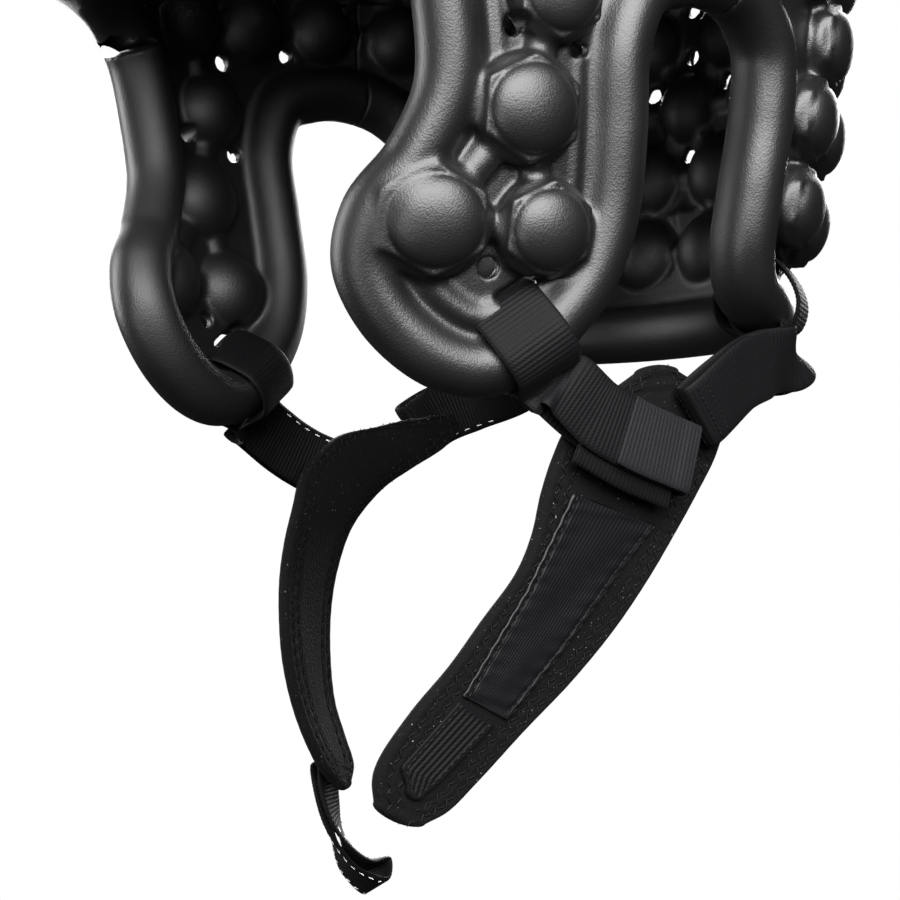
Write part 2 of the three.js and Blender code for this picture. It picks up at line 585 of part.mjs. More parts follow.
// Triangles with their diagonals turned until none is needlessly long. Border edges are left alone.
function relaxed(faces, flat, spots, loops) {
  const edges = new Set();
  const key = (a, b) => `${Math.min(a, b)},${Math.max(a, b)}`;
  for (const [start, count] of loops) {
    for (let i = 0; i < count; i += 1) edges.add(key(start + i, start + ((i + 1) % count)));
  }
  const turn = (a, b, c) =>
    (flat[b].x - flat[a].x) * (flat[c].y - flat[a].y) - (flat[b].y - flat[a].y) * (flat[c].x - flat[a].x);
  const list = faces.map(([a, b, c]) => (turn(a, b, c) > 0 ? [a, b, c] : [a, c, b]));
  const corner = (a, b, c) => spots[b].clone().sub(spots[a]).angleTo(spots[c].clone().sub(spots[a]));
  for (let pass = 0; pass < RELAX_PASSES; pass += 1) {
    const owner = new Map();
    list.forEach(([a, b, c], i) => [[a, b, c], [b, c, a], [c, a, b]].forEach(([p, q, r]) =>
      owner.set(`${p},${q}`, [i, r])));
    const busy = new Set();
    for (const [edge, [i, r]] of owner) {
      const [p, q] = edge.split(',').map(Number);
      const other = owner.get(`${q},${p}`);
      if (!other || edges.has(key(p, q)) || busy.has(i) || busy.has(other[0])) continue;
      const [j, s] = other;
      const convex = turn(r, p, s) > 0 && turn(s, q, r) > 0;
      if (!convex || corner(r, p, q) + corner(s, p, q) <= Math.PI + 1e-6) continue;
      list[i] = [r, p, s];
      list[j] = [s, q, r];
      busy.add(i).add(j);
    }
    if (busy.size === 0) break;
  }
  return list;
}

// Whether a place lies inside a loop of places, seen from above the crown.
function inside(place, loop) {
  const flat = ({ turn, fall }) => [fall * Math.sin(radians(turn)), -fall * Math.cos(radians(turn))];
  const [x, y] = flat(place);
  const corners = loop.map(flat);
  return corners.reduce((is, [x1, y1], i) => {
    const [x2, y2] = corners[(i + 1) % corners.length];
    const crosses = (y1 > y) !== (y2 > y) && x < x1 + ((y - y1) / (y2 - y1)) * (x2 - x1);
    return crosses ? !is : is;
  }, false);
}

// The four moulded shells, by name.
function shells() {
  const last = RIM_KNOTS.length - 1;
  const beyond = 1 / RIM_STEPS;
  const brow = rimPlaces(0, TEMPLE_KNOT + beyond);
  const cheek = rimPlaces(TEMPLE_KNOT - beyond, EAR_KNOT + beyond);
  const nape = rimPlaces(EAR_KNOT - beyond, last);
  const browLine = [...reversedMirror(brow), ...brow.slice(1)];
  const napeLine = [...nape, ...reversedMirror(nape.slice(0, -1)).map(({ turn, fall }) => ({ turn: turn + 360, fall }))];

  const temple = TEMPLE_SEAM.map(placeOf);
  const ear = [placeOf(EAR_SEAM), placeAt(EAR_SEAM.turn, CROWN_SEAM.depth)];
  const level = (from, to) => {
    const steps = Math.round((to - from) / CROWN_SEAM.step);
    return Array.from({ length: steps - 1 }, (_, i) =>
      placeAt(mix(from, to, (i + 1) / steps), CROWN_SEAM.depth));
  };
  const corner = EAR_SEAM.turn;
  const front = level(TEMPLE_SEAM[TEMPLE_SEAM.length - 1].turn, corner);
  const back = level(corner, 180);
  const middle = placeAt(180, CROWN_SEAM.depth);
  const crownHalf = [...temple, ...front, ear[ear.length - 1], ...back];
  const crownSeam = [...crownHalf, middle, ...reversedMirror(crownHalf)];
  const cheekSeam = [...ear, ...front.reverse(), ...[...temple].reverse()];
  const backHalf = [...ear, ...back];
  const backSeam = [...backHalf.map(mirrored), middle, ...[...backHalf].reverse()];

  const cells = allCells();
  const rimPoints = [...browLine, ...cheek, ...cheek.map(mirrored), ...napeLine]
    .map((place) => formPoint(place.turn, place.fall));
  const seamPoints = [...crownSeam, ...ear, ...ear.map(mirrored)].map(({ turn, fall }) => formPoint(turn, fall));
  const vents = allVents(cells, rimPoints, seamPoints);
  const slots = [CHEEK_SLOT, NAPE_SLOT].map((row) => ({ ...placeAt(row.turn, row.depth), loop: slotPlaces(row) }));
  const rightSlots = slots.map(({ turn, fall, loop }) => ({ turn: -turn, fall, loop: reversedMirror(loop) }));
  const holes = [
    ...vents.map((place) => ({ ...place, loop: ringPlaces(place, VENT_SIDES, VENT_RADIUS) })),
    ...slots, ...rightSlots,
  ];
  const shell = (name, rimLine, seamLine) => {
    const loop = [...rimLine.slice(1, -1), ...seamLine];
    const within = (place) => inside(place, loop);
    const own = holes.filter(within).map((hole) => hole.loop);
    return { name, geometry: shellGeometry(rimLine, seamLine, cells.filter(within), own) };
  };
  return [
    shell('crown_shell', browLine, crownSeam),
    shell('cheek_shell_left', cheek, cheekSeam),
    shell('cheek_shell_right', reversedMirror(cheek), reversedMirror(cheekSeam)),
    shell('back_shell', napeLine, backSeam),
  ];
}

// Pads and webbing

const hangZ = ({ drop, from = CHEEK_DEPTH }) => -(from + drop);
const hangX = (z) => HANG.x + HANG.lean * (z - hangZ(HANG));
const hangPoint = (row) => new THREE.Vector3(row.x, row.y, hangZ(row));

// A flat bar of webbing: rings of four corners round each centre point.
// Each section has its centre, the direction of its width and the direction out of its face.
function bandGeometry(sections, width, closed) {
  return loft(sections.map(({ centre, across, out }) =>
    [[1, 1], [-1, 1], [-1, -1], [1, -1]].map(([a, b]) => centre.clone()
      .addScaledVector(across, (a * width) / 2)
      .addScaledVector(out, (b * WEBBING) / 2))), closed);
}

// Sections of a band along points with given width directions.
function sectionsOf(stations, closed) {
  return stations.map(({ centre, across }, i) => {
    const count = stations.length;
    const before = stations[closed ? (i + count - 1) % count : Math.max(i - 1, 0)].centre;
    const after = stations[closed ? (i + 1) % count : Math.min(i + 1, count - 1)].centre;
    const run = after.clone().sub(before).normalize();
    const out = new THREE.Vector3().crossVectors(run, across).normalize();
    return { centre, across: new THREE.Vector3().crossVectors(out, run).normalize(), out };
  });
}

// Direction of a band's width: level along the head, tilted up towards the back.
function acrossAt(point, tilt) {
  const { along } = tangents(formPlace(point));
  if (point.x < 0) along.negate();
  return along.multiplyScalar(Math.cos(radians(tilt))).setZ(Math.sin(radians(tilt))).normalize();
}

// Webbing loop through a slot and round the rim, sewn together at its far end.
function loopGeometry(slot, run) {
  const mirror = run[0].x < 0 ? -1 : 1;
  const place = placeAt(slot.turn, slot.depth);
  const { point, along, up } = tangents(place);
  const tilt = radians(slot.tilt);
  const down = up.clone().multiplyScalar(-Math.cos(tilt)).addScaledVector(along, Math.sin(tilt));
  const acrossSlot = along.clone().multiplyScalar(Math.cos(tilt)).addScaledVector(up, Math.sin(tilt));
  const reach = RIM_WIDTH / 2 + 2 * WEBBING;
  const rise = RIM_THICKNESS / 2 + 1.7 * WEBBING;
  const round = [46, 76, 105, 140].map((degrees) => ({
    run: slot.rim - reach * Math.cos(radians(degrees)), height: rise * Math.sin(radians(degrees)),
  }));
  const wrap = [{ run: 0.5, height: 2.6 }, ...round].map(({ run: distance, height }) => {
    const spot = formPlace(point.clone().addScaledVector(down, distance));
    return { outer: skin(spot, height + RIM_SET / 2), inner: skin(spot, RIM_SET - height) };
  });
  const flip = (v) => new THREE.Vector3(mirror * v.x, v.y, v.z);
  const station = (centre, across) => ({ centre, across });
  const free = run.map((row) => {
    const centre = hangPoint(row);
    return station(centre, acrossAt(centre, row.tilt));
  });
  const inward = new THREE.Vector3(-mirror, 0, 0);
  const under = free.map(({ centre, across }, i) => {
    const spread = i === 0 ? LOOP_SPREAD : 1;
    return station(centre.clone().addScaledVector(inward, spread * LAYER * LOOP_LAYERS), across);
  });
  const slotAcross = flip(acrossSlot);
  const stations = [
    ...[...free].reverse(),
    ...[...wrap].reverse().map(({ outer }) => station(flip(outer), slotAcross)),
    station(flip(point), slotAcross),
    ...wrap.map(({ inner }) => station(flip(inner), slotAcross)),
    ...under,
  ];
  return bandGeometry(sectionsOf(stations, true), WEBBING_WIDTH, true);
}

// A padded plate between two edges, its outer face on the hanging face of its side.
function padGeometry(rows, side) {
  const stations = rows.map(({ frontY, frontDrop, backY, backDrop, twist }) => {
    const [frontZ, backZ] = [frontDrop, backDrop].map((drop) => hangZ({ drop }));
    const front = new THREE.Vector3(side * (hangX(frontZ) - twist), frontY - twist / 1.4, frontZ);
    const back = new THREE.Vector3(side * (hangX(backZ) + twist), backY + twist / 1.4, backZ);
    return { front, back };
  });
  const rings = stations.map(({ front, back }, i) => {
    const before = stations[Math.max(i - 1, 0)];
    const after = stations[Math.min(i + 1, stations.length - 1)];
    const run = after.front.clone().add(after.back).sub(before.front).sub(before.back).normalize();
    const across = back.clone().sub(front).normalize();
    const out = new THREE.Vector3().crossVectors(run, across).normalize();
    if (out.x * side < 0) out.negate();
    const inner = [front, back].map((point) => point.clone().addScaledVector(out, -PAD_THICKNESS));
    return side > 0 ? [back, front, inner[0], inner[1]] : [front, back, inner[1], inner[0]];
  });
  return loft(rings);
}

// A thin plate on the outer face of the left pad.
function patchGeometry(corners) {
  const shape = new THREE.Shape(corners.map((row) => new THREE.Vector2(row.y, hangZ(row))));
  const geometry = new THREE.ExtrudeGeometry(shape, { depth: PATCH, bevelEnabled: false });
  const position = geometry.attributes.position;
  for (let i = 0; i < position.count; i += 1) {
    const [y, z, lift] = [position.getX(i), position.getY(i), position.getZ(i)];
    position.setXYZ(i, hangX(z) + CLEARANCE + lift, y, z);
  }
  return geometry;
}

// Folded loop at the tip of the right pad.
function tabGeometry() {
  const centres = TAB_RUN.map(hangPoint);
  const depth = new THREE.Vector3(TAB_DEPTH.x, TAB_DEPTH.y, 0);
  const stations = centres.map((centre, i) => {
    const before = centres[Math.max(i - 1, 0)];
    const after = centres[Math.min(i + 1, centres.length - 1)];
    const run = after.clone().sub(before).normalize();
    const lean = radians(TAB_RUN[i].lean);
    const level = depth.clone().addScaledVector(run, -depth.dot(run)).normalize();
    const sunk = new THREE.Vector3().crossVectors(level, run).normalize();
    const across = level.multiplyScalar(Math.cos(lean)).addScaledVector(sunk, Math.sin(lean));
    const out = new THREE.Vector3().crossVectors(run, across);
    const share = i / (centres.length - 1);
    return { centre, across, out, open: mix(LAYER, TAB_OPENING, share * share * share) / 2 };
  });
  const layer = (side) => stations.map(({ centre, across, out, open }) =>
    ({ centre: centre.clone().addScaledVector(out, side * open), across }));
  return bandGeometry(sectionsOf([...layer(1), ...layer(-1).reverse()], true), TAB_WIDTH, true);
}

const guard = new THREE.Group();
function add(name, geometry, material) {
  const mesh = new THREE.Mesh(geometry, material);
  mesh.name = name;
  mesh.geometry.computeVertexNormals();
  guard.add(mesh);
}
add('chin_pad_left', padGeometry(LEFT_PAD, 1), colours.pad);
add('chin_pad_right', padGeometry(RIGHT_PAD, -1), colours.pad);
add('label_patch', patchGeometry(LEFT_PATCH), colours.patch);
add('ribbed_panel', patchGeometry(LEFT_PANEL), colours.patch);
add('front_strap_left', loopGeometry(CHEEK_SLOT, LEFT_FRONT_RUN), colours.webbing);
add('rear_strap_left', loopGeometry(NAPE_SLOT, LEFT_REAR_RUN), colours.webbing);
add('front_strap_right', loopGeometry(CHEEK_SLOT, RIGHT_FRONT_RUN), colours.webbing);
add('rear_strap_right', loopGeometry(NAPE_SLOT, RIGHT_REAR_RUN), colours.webbing);
const pile = [...LEFT_FRONT_RUN.slice(1, -1), PILE_END].map((row) => {
  const centre = hangPoint(row);
  const across = acrossAt(centre, row.tilt);
  centre.x -= LAYER;
  return { centre: centre.addScaledVector(across, -PILE_DROP), across };
});
add('pile_strip', bandGeometry(sectionsOf(pile, false), PILE_WIDTH, false), colours.webbing);
add('pull_tab', tabGeometry(), colours.webbing);
for (const { name, geometry } of shells()) add(name, geometry, colours.shell);

export default guard;
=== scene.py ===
# Looks of a moulded head guard for contact sport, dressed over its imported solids.
# Lengths are in millimetres until a mesh is made, +Z is up, the wearer faces -Y, and the origin is
# where the crown of the head touches the cap. Meshes are in metres in the same frame.
import math

import bpy
import numpy as np
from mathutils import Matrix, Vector


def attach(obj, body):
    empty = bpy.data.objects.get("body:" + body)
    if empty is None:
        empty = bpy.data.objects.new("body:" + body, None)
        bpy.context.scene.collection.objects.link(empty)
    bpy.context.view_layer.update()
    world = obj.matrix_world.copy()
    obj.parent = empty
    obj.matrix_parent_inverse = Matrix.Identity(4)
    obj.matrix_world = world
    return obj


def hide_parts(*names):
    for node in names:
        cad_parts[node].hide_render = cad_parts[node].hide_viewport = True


MM = 0.001
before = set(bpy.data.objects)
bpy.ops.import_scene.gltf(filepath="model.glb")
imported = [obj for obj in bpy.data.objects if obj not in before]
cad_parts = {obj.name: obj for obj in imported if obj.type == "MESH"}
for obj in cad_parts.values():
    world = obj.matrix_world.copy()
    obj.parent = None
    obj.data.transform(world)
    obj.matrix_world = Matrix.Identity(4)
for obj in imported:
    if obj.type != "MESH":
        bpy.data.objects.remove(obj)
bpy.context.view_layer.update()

# Head form: the surface in the middle of the shell's wall
HALF_WIDTH = 88
HALF_LENGTH = 109
CROWN_RISE = 74.5
PLAN_POWER = 2.25
JAW_TAPER = 0.125
TAPER_DEPTH = 100
CELL_INSIDE = 9.5
EQUATOR = CELL_INSIDE - CROWN_RISE
CROWN_ARC = math.pi / 2 * math.hypot((HALF_WIDTH + HALF_LENGTH) / 2, CROWN_RISE) / math.sqrt(2)

# Wall, rim and cells
WEB = 3
RIM_HALF_WIDTH = 8
RIM_HALF_DEPTH = 9
RIM_SET = -0.8
RIM_FILLET = 3.2
RIDGE_INSET = 12.2  # second, lower ridge along the lobe's front and foot
RIDGE_HEIGHT = 0.8
RIDGE_RADIUS = 3.0
CELL_RADIUS = 12.2
CELL_TOP = 12.3
HEXAGON_CORNER = 0.95  # shares of a cell's radius
HEXAGON_FLAT = 0.84
DOME_RADIUS = 0.8
DOME_FOOT = 7.2  # height of the dome's widest level over the middle of the wall
BASE_TOP = 4.6  # height up to which a cell's foot is round
SHOULDER = 7.9
SHOULDER_SLOPE = 0.12
LIP = 0.25  # height of the fine lip round the hexagon
BALL_RADIUS = 1.05
CHANNEL_RADIUS = 4.3
CHANNEL_HEIGHT = 0.9
CHANNEL_REACH = 38.5
VENT_RADIUS = 2.6
VENT_SPACING = 15
VENT_REACH = 2.95
SLOT_LENGTH = 22
SLOT_HEIGHT = 4.6

BROW = (84, 114)  # level of the rim under the origin, and its reach further down
EAR = (97, 78)
RIM_KNOTS = [  # turn round from the front in degrees, share of the reach, levels
    (0, 0, BROW), (24, 0, BROW), (38, -0.01, BROW), (46, 0.025, BROW), (51.2, 0.12, BROW),
    (53.4, 0.27, BROW), (53.4, 0.43, BROW), (48.5, 0.58, BROW), (42, 0.69, BROW), (40.2, 0.79, BROW),
    (43.2, 0.89, BROW), (50, 0.97, BROW), (58, 1, BROW), (67, 0.97, BROW), (75, 0.89, BROW),
    (81, 0.79, BROW), (84, 0.66, BROW), (84, 0.48, BROW), (83.5, 0.31, BROW), (87, 0.18, BROW),
    (95, 0.02, EAR), (104, 0, EAR), (113, 0.05, EAR), (119.5, 0.18, EAR), (121.3, 0.4, EAR),
    (121.5, 0.65, EAR), (123, 0.84, EAR), (128, 0.96, EAR), (137, 1, EAR), (158, 1, EAR), (180, 1, EAR),
]
RIM_STEPS = 14
CELL_RINGS = [  # front and side as shares of the arc from the crown, count, start
    (0.765, 0.885, 23, 0), (0.575, 0.68, 20, 0.5), (0.41, 0.48, 16, 0), (0.235, 0.285, 8, 0.5),
    (0.1, 0.1, 2, 0.5),
]
BROW_BLEND = (66, 36)
LOWER_CELLS = [  # turn, depth, share of the cell radius
    (7, 61, 1), (21, 61, 1), (35.5, 62, 1), (49, 66.4, 0.92), (65, 82, 1), (80.5, 79, 0.98),
    (97.3, 76.7, 0.89), (114.8, 76.7, 0.89), (131.5, 80, 1), (147.5, 80, 1), (163.5, 80, 1), (180, 80, 1),
    (69.6, 108.6, 1), (65.5, 136.6, 1.12), (69.4, 164.1, 1.02), (50.9, 163.4, 1.14), (172, 102, 1),
    (156, 102, 1), (140, 102, 1), (180, 124.5, 1), (164.5, 124.5, 1), (149, 124.5, 1),
    (133.7, 124.5, 0.98), (180, 149, 0.98), (165, 149, 0.98), (150, 149, 0.98), (134.8, 148, 0.94),
]
RIM_VENTS = [(63.2, 117.1), (75, 121.1), (60.4, 174.3), (89.3, 87)]
BARE_WEB = [(62.4, 154)]  # a gap between three cells with a channel but no vent
CHEEK_SLOT = {"turn": 63.1, "depth": 182, "tilt": 35, "rim": 13.8}
NAPE_SLOT = {"turn": 139.5, "depth": 162.6, "tilt": 0, "rim": 12.6}
TEMPLE_SEAM = [(54, 104), (54, 78), (57, 74), (59.5, 66.3), (60.5, 55)]  # turn, depth
BROW_END = [(40, 104), (51.2, 95), (58, 89.5)]  # square across the rim, where the brow's bumper ends
CROWN_SEAM_DEPTH = 64.9
EAR_SEAM_TURN = 106
JOINT_GAP = 0.12
OUTSIDE = 9.0  # stands for far from any material
RUN_STEPS = 24  # points from one row of a band or pad to the next
PATCH_STEPS = 24


def run_lengths(line):
    """Lengths along a line of points from its start to each of them."""
    return np.concatenate([[0], np.cumsum(np.linalg.norm(np.diff(line, axis=0), axis=1))])


def resample(rows, lengths, wanted):
    return np.stack([np.interp(wanted, lengths, rows[:, c]) for c in range(rows.shape[1])], 1)


def curve(points, shares):
    """Smooth curve from the second point to the last but one, whose bends follow the gaps between
    places, the first three values."""
    found = []
    for p0, p1, p2, p3 in zip(points, points[1:], points[2:], points[3:]):
        pairs = ((p0, p1), (p1, p2), (p2, p3))
        d0, d1, d2 = (max(math.sqrt(np.linalg.norm((b - a)[:3])), 1e-3) for a, b in pairs)
        leave = ((p1 - p0) / d0 - (p2 - p0) / (d0 + d1) + (p2 - p1) / d1) * d1
        arrive = ((p2 - p1) / d1 - (p3 - p1) / (d1 + d2) + (p3 - p2) / d2) * d1
        for t in shares:
            bend = (2 * p1 - 2 * p2 + leave + arrive) * t**3 + (-3 * p1 + 3 * p2 - 2 * leave - arrive) * t**2
            found.append(bend + leave * t + p1)
    return found


def smoothstep(low, high, value):
    share = np.clip((value - low) / (high - low), 0, 1)
    return share * share * (3 - 2 * share)


def soft_min(a, b, width):
    blend = np.maximum(width - np.abs(a - b), 0) / width
    return np.minimum(a, b) - blend * blend * width / 4


def soft_max(a, b, width):
    return -soft_min(-a, -b, width)


def dot(a, b):
    return np.einsum("ij,ij->i", a, b)


def unit(a):
    return a / np.maximum(np.linalg.norm(a, axis=-1, keepdims=True), 1e-9)


# The form, worked out for many points at once


def plan_share(x, y):
    return (np.abs(x / HALF_WIDTH) ** PLAN_POWER + np.abs(y / HALF_LENGTH) ** PLAN_POWER) ** (1 / PLAN_POWER)


def form_point(turn, fall):
    angle = np.radians(turn)
    reach = 1 / plan_share(np.sin(angle), np.cos(angle))
    below = fall - CROWN_ARC
    arc = fall / CROWN_ARC * math.pi / 2
    spread = np.where(below > 0, 1 - JAW_TAPER * (below / TAPER_DEPTH) ** 2, np.sin(arc))
    z = np.where(below > 0, EQUATOR - below, EQUATOR + CROWN_RISE * np.cos(arc))
    return np.stack([reach * spread * np.sin(angle), -reach * spread * np.cos(angle), z], -1)


def form_place(point):
    x, y, z = point[..., 0], point[..., 1], point[..., 2]
    arc = np.arctan2(plan_share(x, y), (z - EQUATOR) / CROWN_RISE)
    fall = np.where(z <= EQUATOR, CROWN_ARC + EQUATOR - z, arc / (math.pi / 2) * CROWN_ARC)
    return np.degrees(np.arctan2(x, -y)), fall


def form_normal(point):
    x, y, z = point[..., 0], point[..., 1], point[..., 2]
    share = np.maximum(plan_share(x, y), 1e-6)
    flat = share ** (1 - PLAN_POWER)
    across_x = np.sign(x) * np.abs(x / HALF_WIDTH) ** (PLAN_POWER - 1) / HALF_WIDTH * flat
    across_y = np.sign(y) * np.abs(y / HALF_LENGTH) ** (PLAN_POWER - 1) / HALF_LENGTH * flat
    below = EQUATOR - z
    scale = np.where(below > 0, 1, share)
    slope_z = np.where(below > 0, -2 * JAW_TAPER * below / TAPER_DEPTH**2, -below / CROWN_RISE**2)
    return unit(np.stack([across_x * scale, across_y * scale, slope_z], -1))


def form_foot(point):
    """Nearest point of the form, the outward direction there and the height over it."""
    foot = form_point(*form_place(point))
    for _ in range(3):
        out = form_normal(foot)
        beside = point - foot
        slide = beside - out * dot(beside, out)[:, None]
        foot = form_point(*form_place(foot + slide))
    out = form_normal(foot)
    return foot, out, dot(point - foot, out)


def place_at(turn, depth):
    below = EQUATOR + depth
    if below > 0:
        return turn, CROWN_ARC + below
    return turn, math.acos(-below / CROWN_RISE) / (math.pi / 2) * CROWN_ARC


def spot(turn, depth):
    return form_point(*(np.array(v, float) for v in place_at(turn, depth)))


def tangents(points):
    """Level direction back along the wall, and the direction up it."""
    out = form_normal(points)
    turn, fall = form_place(points)
    along = unit(form_point(turn + 0.5, fall) - form_point(turn - 0.5, fall))
    return along, unit(np.cross(out, along)), out


def both_sides(rows):
    middle = (0, 180)
    return [r for row in rows for r in ([row] if row[0] in middle else [row, (-row[0], *row[1:])])]


# Cells, vents and slots


def even_turns(count, start):
    turns = np.linspace(0, 360, 721)
    ring = form_point(turns, np.full(721, CROWN_ARC))
    lengths = run_lengths(ring)
    wanted = (np.arange(count) + start) / count * lengths[-1]
    found = np.interp(wanted, lengths, turns)
    return np.where(found > 180, found - 360, found)


def make_cells():
    centres, radii = [], []
    for front, side, count, start in CELL_RINGS:
        turns = even_turns(count, start)
        share = smoothstep(0, BROW_BLEND[0] - BROW_BLEND[1], BROW_BLEND[0] - np.abs(turns))
        falls = (side + (front - side) * share) * CROWN_ARC
        centres.extend(form_point(turns, falls))
        radii.extend([CELL_RADIUS] * count)
    for turn, depth, radius in both_sides(LOWER_CELLS):
        centres.append(spot(turn, depth))
        radii.append(radius * CELL_RADIUS)
    return np.array(centres), np.array(radii)


def make_rim():
    """Points along the rim's centre line, once round the guard."""
    half = [place_at(turn, level + share * reach) for turn, share, (level, reach) in RIM_KNOTS]
    per_degree = math.radians(1) * HALF_LENGTH
    right = [(-turn, fall) for turn, fall in half[:0:-1]]
    knots = np.array([(turn * per_degree, fall) for turn, fall in right + half[:-1]])
    loop = 360 * per_degree
    wrapped = np.array([knots[-1] - (loop, 0), *knots, knots[0] + (loop, 0), knots[1] + (loop, 0)])
    places = np.array(curve(wrapped, np.arange(RIM_STEPS) / RIM_STEPS))
    return form_point(places[:, 0] / per_degree, places[:, 1]), places[:, 0] / per_degree


def circumcentre(a, b, c):
    ab, ac = b - a, c - a
    cross = np.cross(ab, ac)
    part = np.cross(cross, ab) * ac.dot(ac) + np.cross(ac, cross) * ab.dot(ab)
    return a + part / (2 * cross.dot(cross))


def seam_turn(depth):
    """Turn of the temple joint at a depth."""
    turns, depths = np.array(TEMPLE_SEAM).T
    return np.interp(depth, depths[::-1], turns[::-1])


def make_vents(centres, radii, rim, slots):
    kept = [spot(turn, depth) for turn, depth in both_sides(RIM_VENTS)]
    gaps = np.linalg.norm(centres[:, None] - centres, axis=2)
    near = gaps <= VENT_REACH * CELL_RADIUS
    joint = [spot(turn, CROWN_SEAM_DEPTH) for turn in [*np.arange(60, 300, 3)]]
    joint += [spot(side * turn, depth) for side in (1, -1) for turn, depth in TEMPLE_SEAM[1:4]]
    joint += [spot(side * EAR_SEAM_TURN, 78) for side in (1, -1)]
    joint = np.array(joint)
    bare = np.array([spot(turn, depth) for turn, depth in both_sides(BARE_WEB)])

    def clear(point, others, reach):
        return np.all(np.linalg.norm(others - point, axis=1) > reach)

    count = len(centres)
    for i in range(count):
        for j in range(i + 1, count):
            if not near[i, j]:
                continue
            for k in range(j + 1, count):
                if not (near[i, k] and near[j, k]):
                    continue
                found = circumcentre(centres[i], centres[j], centres[k])
                point = form_point(*form_place(found))
                if (
                    clear(point, centres, radii + VENT_RADIUS)
                    and clear(point, rim, RIM_HALF_WIDTH + VENT_RADIUS)
                    and clear(point, joint, 2 * VENT_RADIUS)
                    and clear(point, bare, 3 * VENT_RADIUS)
                    and clear(point, slots, SLOT_LENGTH / 2 + VENT_RADIUS)
                    and clear(point, np.array(kept), VENT_SPACING)
                ):
                    kept.append(point)
    return np.array(kept)


cell_at, cell_radius = make_cells()
cell_along, cell_up, _ = tangents(cell_at)
rim_at, rim_turn = make_rim()
rim_out = form_normal(rim_at)
rim_run = unit(np.roll(rim_at, -1, 0) - np.roll(rim_at, 1, 0))
rim_side = unit(np.cross(rim_out, rim_run))
slot_rows = [(side, row) for row in (CHEEK_SLOT, NAPE_SLOT) for side in (1, -1)]
slot_at = np.array([spot(side * row["turn"], row["depth"]) for side, row in slot_rows])
vent_at = make_vents(cell_at, cell_radius, rim_at, slot_at)


def make_links():
    """Pairs of cells that a channel joins: near neighbours with nothing between them."""
    count = len(cell_at)
    linked = np.zeros((count, count), bool)
    for i in range(count):
        for j in range(i + 1, count):
            gap = np.linalg.norm(cell_at[i] - cell_at[j])
            if gap > CHANNEL_REACH:
                continue
            middle = (cell_at[i] + cell_at[j]) / 2
            others = np.linalg.norm(cell_at - middle, axis=1) - cell_radius
            others[[i, j]] = 99
            vents = np.linalg.norm(vent_at - middle, axis=1)
            if others.min() > 2 and vents.min() > VENT_RADIUS + CHANNEL_RADIUS - 1:
                linked[i, j] = linked[j, i] = True
    return linked


cell_linked = make_links()


# The guard as a field of distances, in millimetres and negative inside the material


def nearest(points, others, count):
    gaps = (others**2).sum(1) - 2 * (points.astype(np.float32) @ others.T.astype(np.float32))
    if count == 1:
        return gaps.argmin(1)
    return np.argpartition(gaps, count, axis=1)[:, :count]


def rim_frame(foot):
    """Index of the nearest rim point, and how far a point lies from the rim's line towards the shell."""
    stride = 6
    first = nearest(foot, rim_at[::stride], 1) * stride
    window = (first[:, None] + np.arange(-stride, stride + 1)) % len(rim_at)
    gaps = ((rim_at[window] - foot[:, None]) ** 2).sum(2)
    best = window[np.arange(len(foot)), gaps.argmin(1)]
    return best, dot(foot - rim_at[best], rim_side[best])


def oval(x, y, half_x, half_y):
    """About the distance from an ellipse."""
    near = np.sqrt((x / half_x) ** 2 + (y / half_y) ** 2)
    steep = np.sqrt((x / half_x**2) ** 2 + (y / half_y**2) ** 2)
    return near * (near - 1) / np.maximum(steep, 1e-6)


def cell_field(beside, height, which):
    radius = cell_radius[which]
    u = dot(beside, cell_along[which])
    v = dot(beside, cell_up[which])
    away = np.hypot(u, v)
    sixth = math.pi / 3
    lean = np.abs(np.arctan2(v, u) % sixth - sixth / 2)
    hexagon = soft_min(HEXAGON_FLAT * radius / np.cos(sixth / 2 - lean), HEXAGON_CORNER * radius, 0.5)
    rise = smoothstep(BASE_TOP, SHOULDER, height)
    wall = away - (radius + (hexagon - radius) * rise)
    lip = LIP * np.exp(-(((hexagon - away - 0.7) / 0.55) ** 2))
    deck = height - SHOULDER - SHOULDER_SLOPE * (hexagon - away) - lip
    body = soft_max(wall * 0.96, deck * 0.96, 0.5)
    dome_radius = DOME_RADIUS * radius
    dome = oval(away, height - DOME_FOOT, dome_radius, CELL_TOP - DOME_FOOT)
    outer = np.maximum(np.minimum(body, dome), -height)
    ball_radius = BALL_RADIUS * radius
    ball = np.hypot(away, height + CELL_INSIDE - ball_radius) - ball_radius
    inner = np.maximum(ball, height)
    return outer, inner


